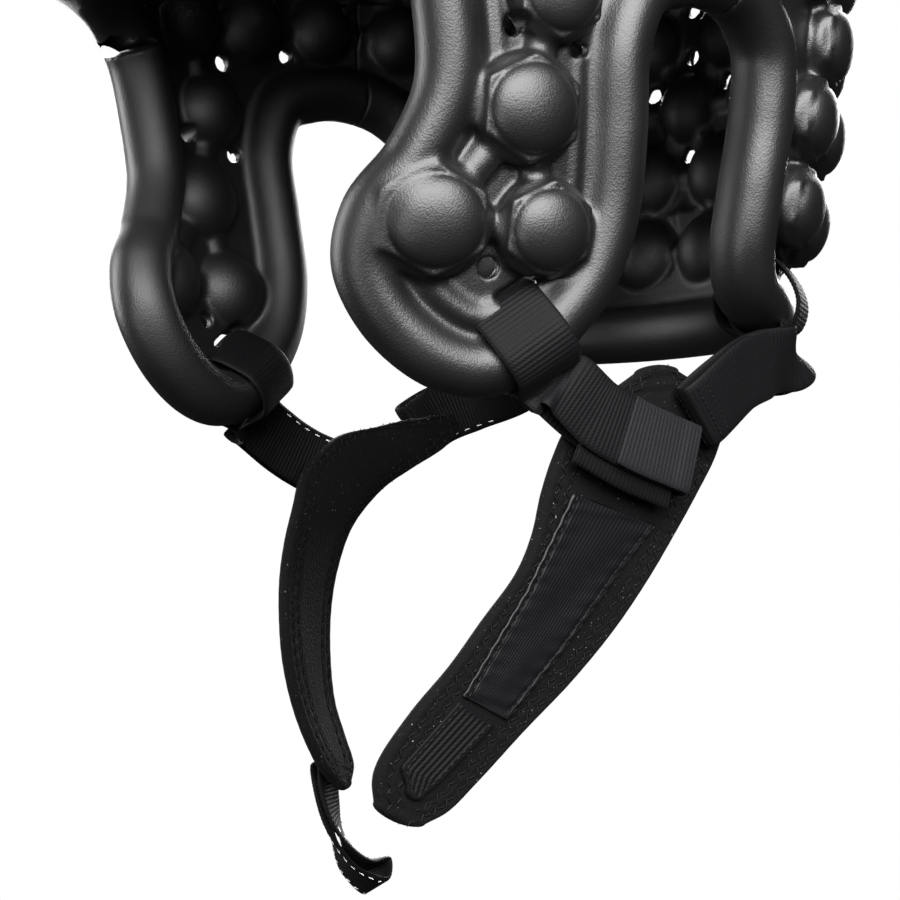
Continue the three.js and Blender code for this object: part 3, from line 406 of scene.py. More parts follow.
def guard_field(points, region):
    foot, _, height = form_foot(points)
    index, inward = rim_frame(foot)
    near_rim = oval(inward, height - RIM_SET, RIM_HALF_WIDTH, RIM_HALF_DEPTH)
    web = np.maximum(np.abs(height) - WEB / 2, -inward)
    close = nearest(foot, cell_at, 3)
    outer = np.full(len(foot), 50.0)
    inner = np.full(len(foot), 50.0)
    for column in range(3):
        which = close[:, column]
        one_outer, one_inner = cell_field(foot - cell_at[which], height, which)
        outer = np.minimum(outer, one_outer)
        inner = np.minimum(inner, one_inner)
    channel = np.full(len(foot), 50.0)
    for a, b in ((0, 1), (0, 2), (1, 2)):
        i, j = close[:, a], close[:, b]
        span = cell_at[j] - cell_at[i]
        share = np.clip(dot(foot - cell_at[i], span) / np.maximum(dot(span, span), 1e-6), 0, 1)
        away = np.linalg.norm(foot - cell_at[i] - span * share[:, None], axis=1)
        pipe = np.hypot(away, height - CHANNEL_HEIGHT) - CHANNEL_RADIUS
        channel = np.where(cell_linked[i, j], np.minimum(channel, pipe), channel)
    wall = soft_min(web, channel, 1.2)
    wall = soft_min(wall, outer, 1.4)
    wall = soft_min(wall, inner, 1.4)
    vent = vent_at[nearest(foot, vent_at, 1)]
    hole = np.linalg.norm(foot - vent, axis=1) - VENT_RADIUS
    wall = soft_max(wall, -hole, 0.6)
    for (side, row), centre in zip(slot_rows, slot_at):
        along, up, out = (v[0] for v in tangents(centre[None]))
        tilt = math.radians(row["tilt"]) * side
        length = (foot - centre) @ (along * math.cos(tilt) + up * math.sin(tilt))
        width = (foot - centre) @ (up * math.cos(tilt) - along * math.sin(tilt))
        over = np.hypot(np.maximum(np.abs(length) - SLOT_LENGTH / 2 + 2, 0), width)
        over = np.where(np.abs((foot - centre) @ out) < SLOT_LENGTH, over, OUTSIDE)
        wall = soft_max(wall, SLOT_HEIGHT / 2 - over, 1.0)
    lobe = smoothstep(138, 152, -foot[:, 2]) * smoothstep(74, 66, np.abs(rim_turn[index]))
    ridge = np.hypot(inward - RIDGE_INSET, height - RIDGE_HEIGHT) - RIDGE_RADIUS * lobe
    wall = soft_min(wall, ridge, RIM_FILLET)
    made = soft_min(wall, near_rim, RIM_FILLET)
    return np.maximum(made, region(foot))


def crown_region(foot):
    turn, fall = form_place(foot)
    level = place_at(0, CROWN_SEAM_DEPTH)[1]
    temple = (np.abs(turn) - seam_turn(-foot[:, 2])) * math.radians(1) * np.hypot(foot[:, 0], foot[:, 1])
    end_turns, end_depths = np.array(BROW_END).T
    temple = np.maximum(temple, (-foot[:, 2] - np.interp(np.abs(turn), end_turns, end_depths)) * 0.85)
    return np.minimum(fall - level, temple) + JOINT_GAP / 2


def ear_side(foot):
    turn = np.abs(form_place(foot)[0])
    return (turn - EAR_SEAM_TURN) * math.radians(1) * np.hypot(foot[:, 0], foot[:, 1])


def cheek_region(foot):
    others = -crown_region(foot) + JOINT_GAP
    return np.maximum(others, np.maximum(ear_side(foot) + JOINT_GAP / 2, -foot[:, 0]))


def back_region(foot):
    return np.maximum(-crown_region(foot) + JOINT_GAP, -ear_side(foot) + JOINT_GAP / 2)


# Turning a field into a mesh: one corner in each grid cube that the surface crosses

BAND_OUT = 14.5
BAND_IN = -12
BATCH = 60000


def in_batches(points, region):
    parts = [guard_field(points[i : i + BATCH], region) for i in range(0, len(points), BATCH)]
    return np.concatenate(parts)


def grid_field(low, shape, step, region):
    axes = [low[a] + step * np.arange(shape[a]) for a in range(3)]
    points = np.stack(np.meshgrid(*axes, indexing="ij"), -1).reshape(-1, 3)
    field = np.full(len(points), OUTSIDE)
    guess = form_point(*form_place(points))
    height = dot(points - guess, form_normal(guess))
    band = np.flatnonzero((height > BAND_IN - 2) & (height < BAND_OUT + 2))
    band = band[region(guess[band]) < 2 * step]
    field[band] = in_batches(points[band], region)
    return field.reshape(shape)


def surface_net(low, high, step, region):
    shape = tuple(int(math.ceil((high[a] - low[a]) / step)) + 1 for a in range(3))
    field = grid_field(low, shape, step, region)
    inside = field < 0
    cubes = tuple(n - 1 for n in shape)
    total = np.zeros((int(np.prod(cubes)), 3))
    count = np.zeros(int(np.prod(cubes)))
    crossings = []
    for axis in range(3):
        first = [slice(None)] * 3
        second = [slice(None)] * 3
        first[axis] = slice(0, -1)
        second[axis] = slice(1, None)
        a, b = field[tuple(first)], field[tuple(second)]
        edge = np.argwhere(inside[tuple(first)] != inside[tuple(second)])
        value_a, value_b = a[tuple(edge.T)], b[tuple(edge.T)]
        at = edge.astype(float)
        at[:, axis] += value_a / (value_a - value_b)
        p, q = (axis + 1) % 3, (axis + 2) % 3
        keep = (edge[:, p] > 0) & (edge[:, q] > 0) & (edge[:, p] < cubes[p]) & (edge[:, q] < cubes[q])
        edge, at = edge[keep], at[keep]
        around = []
        for dp, dq in ((0, 0), (-1, 0), (-1, -1), (0, -1)):
            cube = edge.copy()
            cube[:, p] += dp
            cube[:, q] += dq
            flat = np.ravel_multi_index(cube.T, cubes)
            around.append(flat)
            count += np.bincount(flat, minlength=len(count))
            for c in range(3):
                total[:, c] += np.bincount(flat, weights=at[:, c], minlength=len(count))
        quad = np.stack(around, 1)
        leaving = inside[tuple(first)][tuple(edge.T)]
        quad[~leaving] = quad[~leaving][:, ::-1]
        crossings.append(quad)
    used = np.flatnonzero(count)
    number = np.full(len(count), -1)
    number[used] = np.arange(len(used))
    points = total[used] / count[used][:, None] * step + low
    return points, number[np.concatenate(crossings)]


def settle(points, region, step):
    """Moves points onto the surface itself."""
    probe = 0.12
    for _ in range(2):
        value = in_batches(points, region)
        slope = np.stack([
            (in_batches(points + probe * axis, region) - value) / probe for axis in np.eye(3)
        ], 1)
        size = np.maximum((slope**2).sum(1), 0.3)
        move = -slope * (value / size)[:, None]
        length = np.linalg.norm(move, axis=1, keepdims=True)
        points = points + move * np.minimum(1, 0.4 * step / np.maximum(length, 1e-9))
    return points


def link(name, data):
    made = bpy.data.objects.new(name, data)
    bpy.context.scene.collection.objects.link(made)
    return made


def new_object(name, points, faces):
    mesh = bpy.data.meshes.new(name)
    mesh.from_pydata((np.asarray(points) * MM).tolist(), [], faces)
    mesh.polygons.foreach_set("use_smooth", [True] * len(mesh.polygons))
    mesh.update()
    return link(name, mesh)


def mark_inner_side(obj, points):
    """Stores the share by which each point lies on the wall's inner side. The foam darkens its colour there
    as painted shade for the hollow inside the guard, and makes it rougher.
    """
    height = form_foot(points)[2]
    layer = obj.data.attributes.new("inner_side", "FLOAT", "POINT")
    layer.data.foreach_set("value", smoothstep(1, -4, height).astype(np.float32))


def dress(made, node_name, cloth):
    made.data.materials.append(cloth)
    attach(made, "root")
    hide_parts(node_name)


def make_shell(name, low, high, step, region, mirrored_name=None):
    step = step * 1
    points, faces = surface_net(np.array(low, float), high, step, region)
    points = settle(points, region, step)
    made = [new_object(name, points, faces.tolist())]
    mark_inner_side(made[0], points)
    if mirrored_name:
        flipped = points * (-1, 1, 1)
        made.append(new_object(mirrored_name, flipped, faces[:, ::-1].tolist()))
        mark_inner_side(made[1], flipped)
    return made


shells = [
    *make_shell("crown_shell_moulding", (-101, -123, -95), (101, 121, 22), 1.6, crown_region),
    *make_shell("cheek_moulding_left", (44, -77, -208), (102, 27, -62), 0.72, cheek_region,
                "cheek_moulding_right"),
    *make_shell("back_moulding", (-98, 16, -186), (98, 123, -62), 1.15, back_region),
]
# Chin pads and webbing, in millimetres like the shells

CHEEK_DEPTH = 198
HANG = (72.8, 17, 0.063)  # outer face of a hanging pad: x, drop under the cheeks, lean
PAD_THICKNESS = 3.6
PAD_ROUNDING = 1.8
PAD_SEAM = 3.4  # from the border to the first row of zigzag stitches
SECOND_SEAM = 6.8
WEBBING_WIDTH = 18.6
WEBBING = 1.4
LAYER = 1.75
LOOP_LAYERS = 2
LOOP_SPREAD = 1.6
RIB_PITCH = 1.2
RIB_HEIGHT = 0.17
PATCH_STANDS_OFF = 0.35
PATCH = 0.8
PILE_WIDTH = 23
PILE_DROP = 2.6
TAB_WIDTH = 13
TAB_DEPTH = (-0.48, 0.88, 0)
TAB_OPENING = 7
PLY_LENGTH = 26
PLY_LIFT = 1.35
PLY_THICKNESS = 1.0

# Rows of a pad from top to tip: front edge's y and drop, back edge's y and drop, twist
LEFT_PAD = [
    (6, 0.2, 20, -1.2, 0), (-5.5, 7.5, 30.5, 3.5, 0), (-15.5, 15, 36, 12, 0), (-19.3, 21.5, 34.3, 19.5, 0),
    (-22.8, 31, 28, 30, 0), (-25.3, 41.5, 20.5, 41, 0), (-29.8, 50.9, 12.5, 52, 0), (-39.8, 62.4, 1.5, 65, 0),
    (-48.8, 72.9, -11.5, 77.5, 0), (-59.6, 83.5, -26.5, 89.7, 0), (-68.3, 94.2, -40, 101.2, 0),
    (-70, 99.5, -48.5, 107.8, 0), (-69.3, 104.2, -55, 110.3, 0),
]
RIGHT_PAD = [
    (23, 5.5, 53, 0.5, 0), (11, 8, 55.5, 4, 0), (2.5, 13.5, 50, 10.3, 0.5), (-4.5, 21, 36.2, 17.5, 2),
    (-7.5, 31, 23.7, 24, 4.8), (-10.5, 41.5, 12.2, 35, 6.5), (-12.5, 52.5, 5.7, 48.5, 7),
    (-13, 64, 2.4, 62, 7.3), (-12.3, 77, 1.6, 77, 6.9), (-9.5, 90, 2.8, 91, 6.4), (-5, 101.5, 6.2, 102, 6.4),
    (0, 110.5, 9, 110.5, 5), (3.5, 114.5, 8, 114.8, 2.5),
]
# Edges of the label patch and of the ribbed panel from top to bottom: y and drop
PATCH_FRONT = [(-15, 31), (-28.8, 55), (-46.8, 80)]
PATCH_BACK = [(12.5, 38.5), (3.2, 48), (-15.5, 69), (-33, 86.3)]
PANEL_FRONT = [(-47.6, 81.2), (-64, 96), (-62.1, 101)]
PANEL_BACK = [(-36.8, 87.3), (-53, 100.6), (-57, 103)]
# Free parts of the webbing loops from the rim to the sewn end: x, y, z and tilt
LEFT_FRONT_RUN = [(76.6, -20.5, -202, 32), (77.9, -11, -209.3, 43), (78.4, 1, -214.6, 57),
                  (78.4, 12, -218, 68), (78.1, 19.5, -220.2, 70)]
LEFT_REAR_RUN = [(69.5, 65.5, -190, -14), (74, 51.8, -193, -34), (78.4, 38.3, -197.3, -48),
                 (78.3, 22.8, -208.6, -50)]
RIGHT_FRONT_RUN = [(-76.6, -20, -201.5, 38), (-77.4, -10.5, -208, 44), (-78, -0.5, -213.3, 56),
                   (-77.6, 9.5, -217.2, 66)]
RIGHT_REAR_RUN = [(-66, 71.5, -189, -16), (-77.2, 63, -193.5, -36), (-80.2, 52, -198, -52),
                  (-79.6, 42.5, -203.5, -54)]
PILE_END = (78.4, 16.2, -219.4, 69)
TAB_RUN = [(-70, 3.6, -306.5, 0), (-69.6, 4, -314.5, 4), (-68.4, 5.2, -323, 15), (-68, 8.5, -331, 35),
           (-67.5, 13.5, -338, 52), (-67, 20.8, -341.6, 66)]


def smooth_run(rows, step, closed=False):
    """Rows an even step apart along a smooth curve through the given ones, whose first three values are
    a place."""
    rows = np.array(rows, float)
    if closed:
        wrapped = np.concatenate([rows[-1:], rows, rows[:2]])
    else:
        wrapped = np.concatenate([[2 * rows[0] - rows[1]], rows, [2 * rows[-1] - rows[-2]]])
    found = curve(wrapped, np.linspace(0, 1, RUN_STEPS, endpoint=False))
    if not closed:
        found.append(rows[-1])
    found = np.array(found + ([found[0]] if closed else []))
    lengths = run_lengths(found[:, :3])
    count = max(2, round(lengths[-1] / step))
    wanted = np.linspace(0, lengths[-1], count + 1)
    even = resample(found, lengths, wanted)
    return (even[:-1] if closed else even), lengths[-1]


def loft(name, rings, run, girth, closed=False):
    """Skin over rings of as many points each. run and girth are the lengths along and round, for the UVs."""
    count, sides = rings.shape[:2]
    spans = count if closed else count - 1
    i, j = (v.ravel() for v in np.meshgrid(np.arange(spans), np.arange(sides), indexing="ij"))
    i2, j2 = (i + 1) % count, (j + 1) % sides
    faces = np.stack([i * sides + j, i * sides + j2, i2 * sides + j2, i2 * sides + j], 1)
    place = np.stack([
        np.stack([run[i], girth[j]], 1), np.stack([run[i], girth[j + 1]], 1),
        np.stack([run[i + 1], girth[j + 1]], 1), np.stack([run[i + 1], girth[j]], 1),
    ], 1)
    points = rings.reshape(-1, 3)
    a, b, c, d = (points[faces[:, k]] for k in range(4))
    if (dot(a, np.cross(b, c)) + dot(a, np.cross(c, d))).sum() < 0:
        faces, place = faces[:, ::-1], place[:, ::-1]
    turned = faces[0, 0] != 0
    listed = faces.tolist()
    if not closed:
        first = list(range(sides))
        last = list(range((count - 1) * sides, count * sides))
        listed += [first, last[::-1]] if turned else [first[::-1], last]
    made = new_object(name, points, listed)
    layer = made.data.uv_layers.new(name="cloth")
    corners = np.zeros((len(made.data.loops), 2))
    corners[: len(faces) * 4] = place.reshape(-1, 2) * MM
    layer.data.foreach_set("uv", corners.ravel().astype(np.float32))
    return made


def band_frames(rows, closed):
    """Centre, width direction and outward direction along a band."""
    centre = rows[:, :3]
    if closed:
        run = unit(np.roll(centre, -1, 0) - np.roll(centre, 1, 0))
    else:
        run = unit(np.gradient(centre, axis=0))
    out = unit(np.cross(run, rows[:, 3:6]))
    return centre, unit(np.cross(out, run)), out


def webbing_band(name, rows, width, thickness, closed, rib=RIB_HEIGHT, jag=0.0):
    """Woven band with ribs across it, its edges rounded over, on a smooth run of rows."""
    step = RIB_PITCH / 5
    rows, length = smooth_run(rows, step, closed)
    centre, across, out = band_frames(rows, closed)
    if closed and dot(out, centre - centre.mean(0)).mean() < 0:
        out = -out
    share = np.array([-1, -0.985, -0.93, -0.8, -0.5, -0.2, 0.1, 0.4, 0.7, 0.9, 0.975, 1])
    plump = np.sqrt(np.maximum(1 - np.abs(share) ** 14, 0)) * 0.92 + 0.08
    along = np.arange(len(rows)) * length / max(len(rows), 1)
    wave = 0.5 + 0.5 * np.cos(2 * math.pi * along / RIB_PITCH)
    lift = rib * wave[:, None] * (1 - np.abs(share) ** 8)[None]
    half = thickness / 2 * plump[None] - rib / 2 + lift
    edge = width / 2 * (1 + jag * (wave[:, None] - 0.5) * (np.abs(share) > 0.9)[None]) * share[None]
    top = centre[:, None] + across[:, None] * edge[..., None] + out[:, None] * half[..., None]
    low = centre[:, None] + across[:, None] * edge[..., None] - out[:, None] * half[..., None]
    rings = np.concatenate([top, low[:, ::-1]], 1)
    girth = np.concatenate([(share + 1) * width / 2, (share + 1) * width / 2 + width, [2 * width]])
    run = np.arange(len(rows) + 1) * length / len(rows)
    return loft(name, rings, run, girth, closed), (centre, across, out, length)


def across_at(point, tilt):
    along = tangents(form_point(*form_place(np.array(point, float)[None])))[0][0]
    along = along * (-1 if point[0] < 0 else 1)
    angle = math.radians(tilt)
    found = np.array([along[0] * math.cos(angle), along[1] * math.cos(angle), math.sin(angle)])
    return found / np.linalg.norm(found)


def over_form(point, height):
    foot = form_point(*form_place(point[None]))
    return foot[0] + form_normal(foot)[0] * height


def loop_rows(slot, run):
    """Webbing through a slot, round the rim and down to its sewn end, as a closed loop of rows."""
    mirror = np.array([-1 if run[0][0] < 0 else 1, 1, 1])
    point = spot(slot["turn"], slot["depth"])
    along, up, _ = (v[0] for v in tangents(point[None]))
    tilt = math.radians(slot["tilt"])
    down = -up * math.cos(tilt) + along * math.sin(tilt)
    width = along * math.cos(tilt) + up * math.sin(tilt)
    reach, rise = RIM_HALF_WIDTH + 2 * WEBBING, RIM_HALF_DEPTH + 1.7 * WEBBING
    wrap = [(0.5, 2.6)]
    for degrees in (46, 76, 105, 140):
        angle = math.radians(degrees)
        wrap.append((slot["rim"] - reach * math.cos(angle), rise * math.sin(angle)))
    outer = [over_form(point + down * away, height + RIM_SET / 2) * mirror for away, height in wrap]
    inner = [over_form(point + down * away, RIM_SET - height) * mirror for away, height in wrap]
    free = [(np.array(row[:3]), across_at(row[:3], row[3])) for row in run]
    inward = np.array([-mirror[0], 0, 0])
    under = [
        (centre + inward * (LOOP_SPREAD if i == 0 else 1) * LAYER * LOOP_LAYERS, wide)
        for i, (centre, wide) in enumerate(free)
    ]
    wide = width * mirror
    rows = [*free[::-1], *((p, wide) for p in outer[::-1]), (point * mirror, wide)]
    rows += [*((p, wide) for p in inner), *under]
    return [np.concatenate(row) for row in rows]


def hang_spot(y, drop, lift=0.0, side=1, twist=0.0):
    z = -(CHEEK_DEPTH + drop)
    x = HANG[0] + HANG[2] * (z + CHEEK_DEPTH + HANG[1]) + twist + lift
    return np.array([side * x, y, z])


def plate(name, front, back, side, thickness, rounding, relief, closed_ends, step, columns=30):
    """Flat piece between two edges: rounded at its border, with a relief on both faces. Its end rows
    narrow to a round tip by the lengths in closed_ends."""
    both, _ = smooth_run(np.concatenate([(front + back) / 2, front, back], 1), step)
    mid, front, back = both[:, :3], both[:, 3:6], both[:, 6:9]
    for end, bulge in zip((0, -1), closed_ends):
        if not bulge:
            continue
        away = unit(mid[end] - mid[1 if end == 0 else -2])
        shares = np.sin(np.linspace(0, math.pi / 2, 9)[1:])
        half = (back[end] - front[end]) / 2
        caps = [(mid[end] + away * bulge * s, half * math.sqrt(max(1 - s * s, 0.0005))) for s in shares]
        new_mid = np.array([c for c, _ in caps])
        new_half = np.array([h for _, h in caps])
        pieces = [(new_mid[::-1], mid) if end == 0 else (mid, new_mid),
                  ((new_mid - new_half)[::-1], front) if end == 0 else (front, new_mid - new_half),
                  ((new_mid + new_half)[::-1], back) if end == 0 else (back, new_mid + new_half)]
        mid, front, back = (np.concatenate(p) for p in pieces)
    run = unit(np.gradient(mid, axis=0))
    across = unit(back - front)
    out = unit(np.cross(run, across))
    out = out * np.sign(out[:, :1] * side)
    u = (1 - np.cos(np.linspace(0, math.pi, columns))) / 2
    width = np.linalg.norm(back - front, axis=1)
    sway = run_lengths(mid)
    to_end = np.minimum(sway, sway[-1] - sway)
    border = soft_min(np.minimum(u, 1 - u)[None] * width[:, None], to_end[:, None] + 0 * u[None], 1.5)
    border = np.maximum(border, 0)
    swell = np.sqrt(1 - (1 - np.clip(border / rounding, 0, 1)) ** 2) * 0.96 + 0.04
    face = front[:, None] + (back - front)[:, None] * u[None, :, None]
    extra = relief(border, sway[:, None] + 0 * u[None], (u[None] - 0.5) * width[:, None])
    middle = face - out[:, None] * thickness / 2
    top = middle + out[:, None] * (thickness / 2 * swell + extra)[..., None]
    low = middle - out[:, None] * (thickness / 2 * swell + extra)[..., None]
    rings = np.concatenate([top, low[:, ::-1]], 1)
    girth = np.concatenate([u * width.mean(), u * width.mean() + width.mean(), [2 * width.mean()]])
    made = loft(name, rings, np.append(sway, sway[-1] + step), girth)
    return made, (front, back, out, width, sway, thickness)


def pad_relief(border, run, across):
    """Grooves where the stitches pull the cloth in, and small puckers between them."""
    grooves = np.exp(-(((border - PAD_SEAM) / 0.8) ** 2)) + np.exp(-(((border - SECOND_SEAM) / 0.8) ** 2))
    puckers = np.sin(2 * math.pi * run / 4.4) * np.exp(-(((border - 4.5) / 3) ** 2))
    swell = 0.25 * np.sin(run / 7.3) * smoothstep(7, 14, border)
    return -0.4 * grooves + 0.1 * puckers + swell * 0.5


def label_relief(border, run, across):
    """Satin drawn in along its sewn border, with soft slack across it."""
    pucker = np.sin(2 * math.pi * run / 5.2 + across * 0.3) * np.exp(-((border / 4) ** 2))
    slack = np.sin(run / 6.1 + across / 9) * np.sin(across / 5.5 + 1) * smoothstep(2, 9, border)
    return 0.16 * pucker + 0.2 * slack - 0.18 * np.exp(-(((border - 1.6) / 0.5) ** 2))


def panel_relief(border, run, across):
    """Fine ribs along the panel."""
    return 0.14 * np.cos(2 * math.pi * across / 1.6) * smoothstep(0.8, 2, border)


def pad_edges(rows, side):
    front = np.array([hang_spot(fy - twist / 1.4, fd, 0, side, -twist) for fy, fd, _, _, twist in rows])
    back = np.array([hang_spot(by + twist / 1.4, bd, 0, side, twist) for _, _, by, bd, twist in rows])
    return front, back


def patch_edges(front, back, thickness):
    lift = PATCH_STANDS_OFF + thickness
    edges = []
    for corners in (front, back):
        line = np.array([hang_spot(y, drop, lift) for y, drop in corners])
        lengths = run_lengths(line)
        edges.append(resample(line, lengths, np.linspace(0, lengths[-1], PATCH_STEPS)))
    return edges


def seam_line(frames, inset, face, from_back):
    """Line on a plate's face at an inset from its front or back edge, with the directions there."""
    front, back, out, width, _, thickness = frames
    share = np.clip(inset / np.maximum(width, 1e-6), 0, 0.5)[:, None]
    keep = width > 2.6 * inset
    across = unit(back - front)
    base = back - across * share * width[:, None] if from_back else front + across * share * width[:, None]
    lift = 0.0 if face > 0 else -thickness
    return (base + out * lift)[keep], across[keep], (out * face)[keep]


def stitches_along(line, across, out, pitch, sway=0.0):
    """Centres, directions and outward directions of stitches on a line, zigzag where sway isn't 0."""
    rows, _ = smooth_run(np.concatenate([line, across, out], 1), pitch)
    place, across, out = rows[:, :3], unit(rows[:, 3:6]), unit(rows[:, 6:9])
    sign = np.where(np.arange(len(rows)) % 2 == 0, 1, -1)[:, None]
    point = place + across * sway * sign
    lay = np.diff(point, axis=0)
    centre = (point[:-1] + point[1:]) / 2
    return np.concatenate([centre, unit(lay), out[:-1]], 1)


def band_line(frames, start, end, side_offset, face=1, thickness=WEBBING):
    """Part of a band's face from one length along it to another, at a distance from its middle."""
    centre, across, out, length = frames
    at = np.arange(len(centre)) * length / len(centre)
    keep = (at >= start) & (at <= end)
    spot_on = centre + across * side_offset + out * face * (thickness / 2 + 0.05)
    return spot_on[keep], across[keep], (out * face)[keep]


def band_crossing(frames, at_length, half, face=1, thickness=WEBBING):
    """Line across a band at one length along it."""
    centre, across, out, length = frames
    i = min(int(at_length / length * len(centre)), len(centre) - 1)
    steps = np.linspace(-half, half, 9)[:, None]
    run = unit(np.roll(centre, -1, 0) - centre)[i]
    line = centre[i] + across[i] * steps + out[i] * face * (thickness / 2 + 0.05)
    return line, np.repeat(run[None], 9, 0), np.repeat(out[i][None] * face, 9, 0)


# Materials


def linear(hexadecimal):
    values = [int(hexadecimal[i : i + 2], 16) / 255 for i in (1, 3, 5)]
    return (*(v / 12.92 if v <= 0.04045 else ((v + 0.055) / 1.055) ** 2.4 for v in values), 1)


def node(tree, kind, links=(), **settings):
    """A node with its settings and its links, each a socket name or number and what feeds it."""
    made = tree.nodes.new(kind)
    for key, value in settings.items():
        setattr(made, key, value)
    for socket, source in links:
        if isinstance(source, bpy.types.NodeSocket):
            tree.links.new(source, made.inputs[socket])
        else:
            made.inputs[socket].default_value = source
    return made


def new_material(name, colour, roughness, ior=1.5):
    material = bpy.data.materials.new(name)
    material.use_nodes = True
    shader = material.node_tree.nodes["Principled BSDF"]
    shader.inputs["Base Color"].default_value = linear(colour)
    shader.inputs["Roughness"].default_value = roughness
    shader.inputs["IOR"].default_value = ior
    return material, material.node_tree, shader


def noise(tree, place, scale, detail):
    made = node(tree, "ShaderNodeTexNoise", [("Vector", place), ("Scale", scale), ("Detail", detail)])
    return made.outputs["Fac"]


def ramp(tree, value, dark, pale):
    shade = node(tree, "ShaderNodeValToRGB", [("Fac", value)])
    shade.color_ramp.elements[0].color = dark
    shade.color_ramp.elements[1].color = pale
    return shade.outputs["Color"]


def raise_grain(tree, shader, strength, distance, height):
    grain = node(tree, "ShaderNodeBump", [("Strength", strength), ("Distance", distance), ("Height", height)])
    tree.links.new(grain.outputs["Normal"], shader.inputs["Normal"])


def moulded_foam():
    """Black moulded EVA with a fine pebbled skin: a satin sheen that breaks up along its grain."""
    material, tree, shader = new_material("pebbled_black_eva", "#0b0b0c", 0.4)
    place = node(tree, "ShaderNodeTexCoord").outputs["Object"]
    pebble = node(tree, "ShaderNodeTexVoronoi", [("Vector", place), ("Scale", 1900.0)])
    skin = noise(tree, place, 700.0, 3.0)
    flow = noise(tree, place, 45.0, 1.0)
    grain = node(tree, "ShaderNodeMix", [("Factor", 0.5), (2, pebble.outputs["Distance"]), (3, skin)])
    bump = node(tree, "ShaderNodeBump", [
        ("Strength", 0.22), ("Distance", 0.0004), ("Height", grain.outputs[0])])
    swell = node(tree, "ShaderNodeBump", [
        ("Strength", 0.07), ("Distance", 0.003), ("Height", flow), ("Normal", bump.outputs["Normal"])])
    tree.links.new(swell.outputs["Normal"], shader.inputs["Normal"])
    inner = node(tree, "ShaderNodeAttribute", attribute_name="inner_side").outputs["Fac"]
    skin_rough = node(tree, "ShaderNodeMapRange", [
        ("Value", flow), ("From Min", 0.3), ("From Max", 0.7), ("To Min", 0.38), ("To Max", 0.46)])
    rough = node(tree, "ShaderNodeMix", [("Factor", inner), (2, skin_rough.outputs["Result"]), (3, 0.55)])
    tree.links.new(rough.outputs[0], shader.inputs["Roughness"])
    # Painted shade: the inner side of the wall, the hollow inside the guard, gets a darker colour (#030303)
    # than the outer skin (#0b0b0c).
    shade = node(tree, "ShaderNodeMix", [("Factor", inner), (6, linear("#0b0b0c")), (7, linear("#030303"))],
                 data_type="RGBA")
    tree.links.new(shade.outputs[2], shader.inputs["Base Color"])
    return material


foam = moulded_foam()
for piece, node_name in zip(shells, ("crown_shell", "cheek_shell_left", "cheek_shell_right", "back_shell")):
    dress(piece, node_name, foam)


# Pieces of webbing, pads and the stitching on them

webbing = {}
for name, slot, run, node_name in (
    ("front_webbing_left", CHEEK_SLOT, LEFT_FRONT_RUN, "front_strap_left"),
    ("rear_webbing_left", NAPE_SLOT, LEFT_REAR_RUN, "rear_strap_left"),
    ("front_webbing_right", CHEEK_SLOT, RIGHT_FRONT_RUN, "front_strap_right"),
    ("rear_webbing_right", NAPE_SLOT, RIGHT_REAR_RUN, "rear_strap_right"),
):
    webbing[name] = (*webbing_band(name, loop_rows(slot, run), WEBBING_WIDTH, WEBBING, True), node_name)


def ply_rows():
    """Short second layer on the left front webbing, sewn down from its free end."""
    centre, across, out, length = webbing["front_webbing_left"][1]
    at = np.arange(len(centre)) * length / len(centre)
    keep = (at > 0.8) & (at < PLY_LENGTH)
    return np.concatenate([centre + out * PLY_LIFT, across], 1)[keep][::12]


def pile_rows():
    rows = []
    for row in [*LEFT_FRONT_RUN[1:-1], PILE_END]:
        across = across_at(row[:3], row[3])
        rows.append(np.concatenate([np.array(row[:3]) - (LAYER, 0, 0) - across * PILE_DROP, across]))
    return rows


def tab_rows():
    """The pull tab's folded loop: down one layer and back up the other."""
    centres = np.array([row[:3] for row in TAB_RUN], float)
    run = unit(np.gradient(centres, axis=0))
    depth = np.array(TAB_DEPTH, float)
    layers = ([], [])
    for i, row in enumerate(TAB_RUN):
        lean = math.radians(row[3])
        level = unit((depth - run[i] * (depth @ run[i]))[None])[0]
        sunk = np.cross(level, run[i])
        across = level * math.cos(lean) + sunk * math.sin(lean)
        out = np.cross(run[i], across)
        share = i / (len(TAB_RUN) - 1)
        opening = (LAYER + (TAB_OPENING - LAYER) * share**3) / 2
        for side, rows in zip((1, -1), layers):
            rows.append(np.concatenate([centres[i] + out * side * opening, across]))
    return [*layers[0], *layers[1][::-1]]


pile, pile_frames = webbing_band("pile_webbing", pile_rows(), PILE_WIDTH, WEBBING, False, 0.05, 0.02)
ply, ply_frames = webbing_band("front_webbing_ply", ply_rows(), WEBBING_WIDTH - 0.4, PLY_THICKNESS, False)
tab, tab_frames = webbing_band("pull_tab_webbing", tab_rows(), TAB_WIDTH, WEBBING, True)

pads = {}
for name, rows, side, node_name in (
    ("left_neoprene_pad", LEFT_PAD, 1, "chin_pad_left"),
    ("right_neoprene_pad", RIGHT_PAD, -1, "chin_pad_right"),
):
    front, back = pad_edges(rows, side)
    made, frames = plate(name, front, back, side, PAD_THICKNESS, PAD_ROUNDING, pad_relief, (2, 2.5), 0.9, 56)
    pads[name] = (made, frames, node_name)
patch_front, patch_back = patch_edges(PATCH_FRONT, PATCH_BACK, PATCH)
label, label_frames = plate(
    "blank_satin_label", patch_front, patch_back, 1, PATCH, 0.5, label_relief, (0, 0), 0.7, 44)
panel_front, panel_back = patch_edges(PANEL_FRONT, PANEL_BACK, PATCH)
panel, panel_frames = plate(
    "ribbed_elastic_panel", panel_front, panel_back, 1, PATCH, 0.5, panel_relief, (0, 2), 0.6, 90)
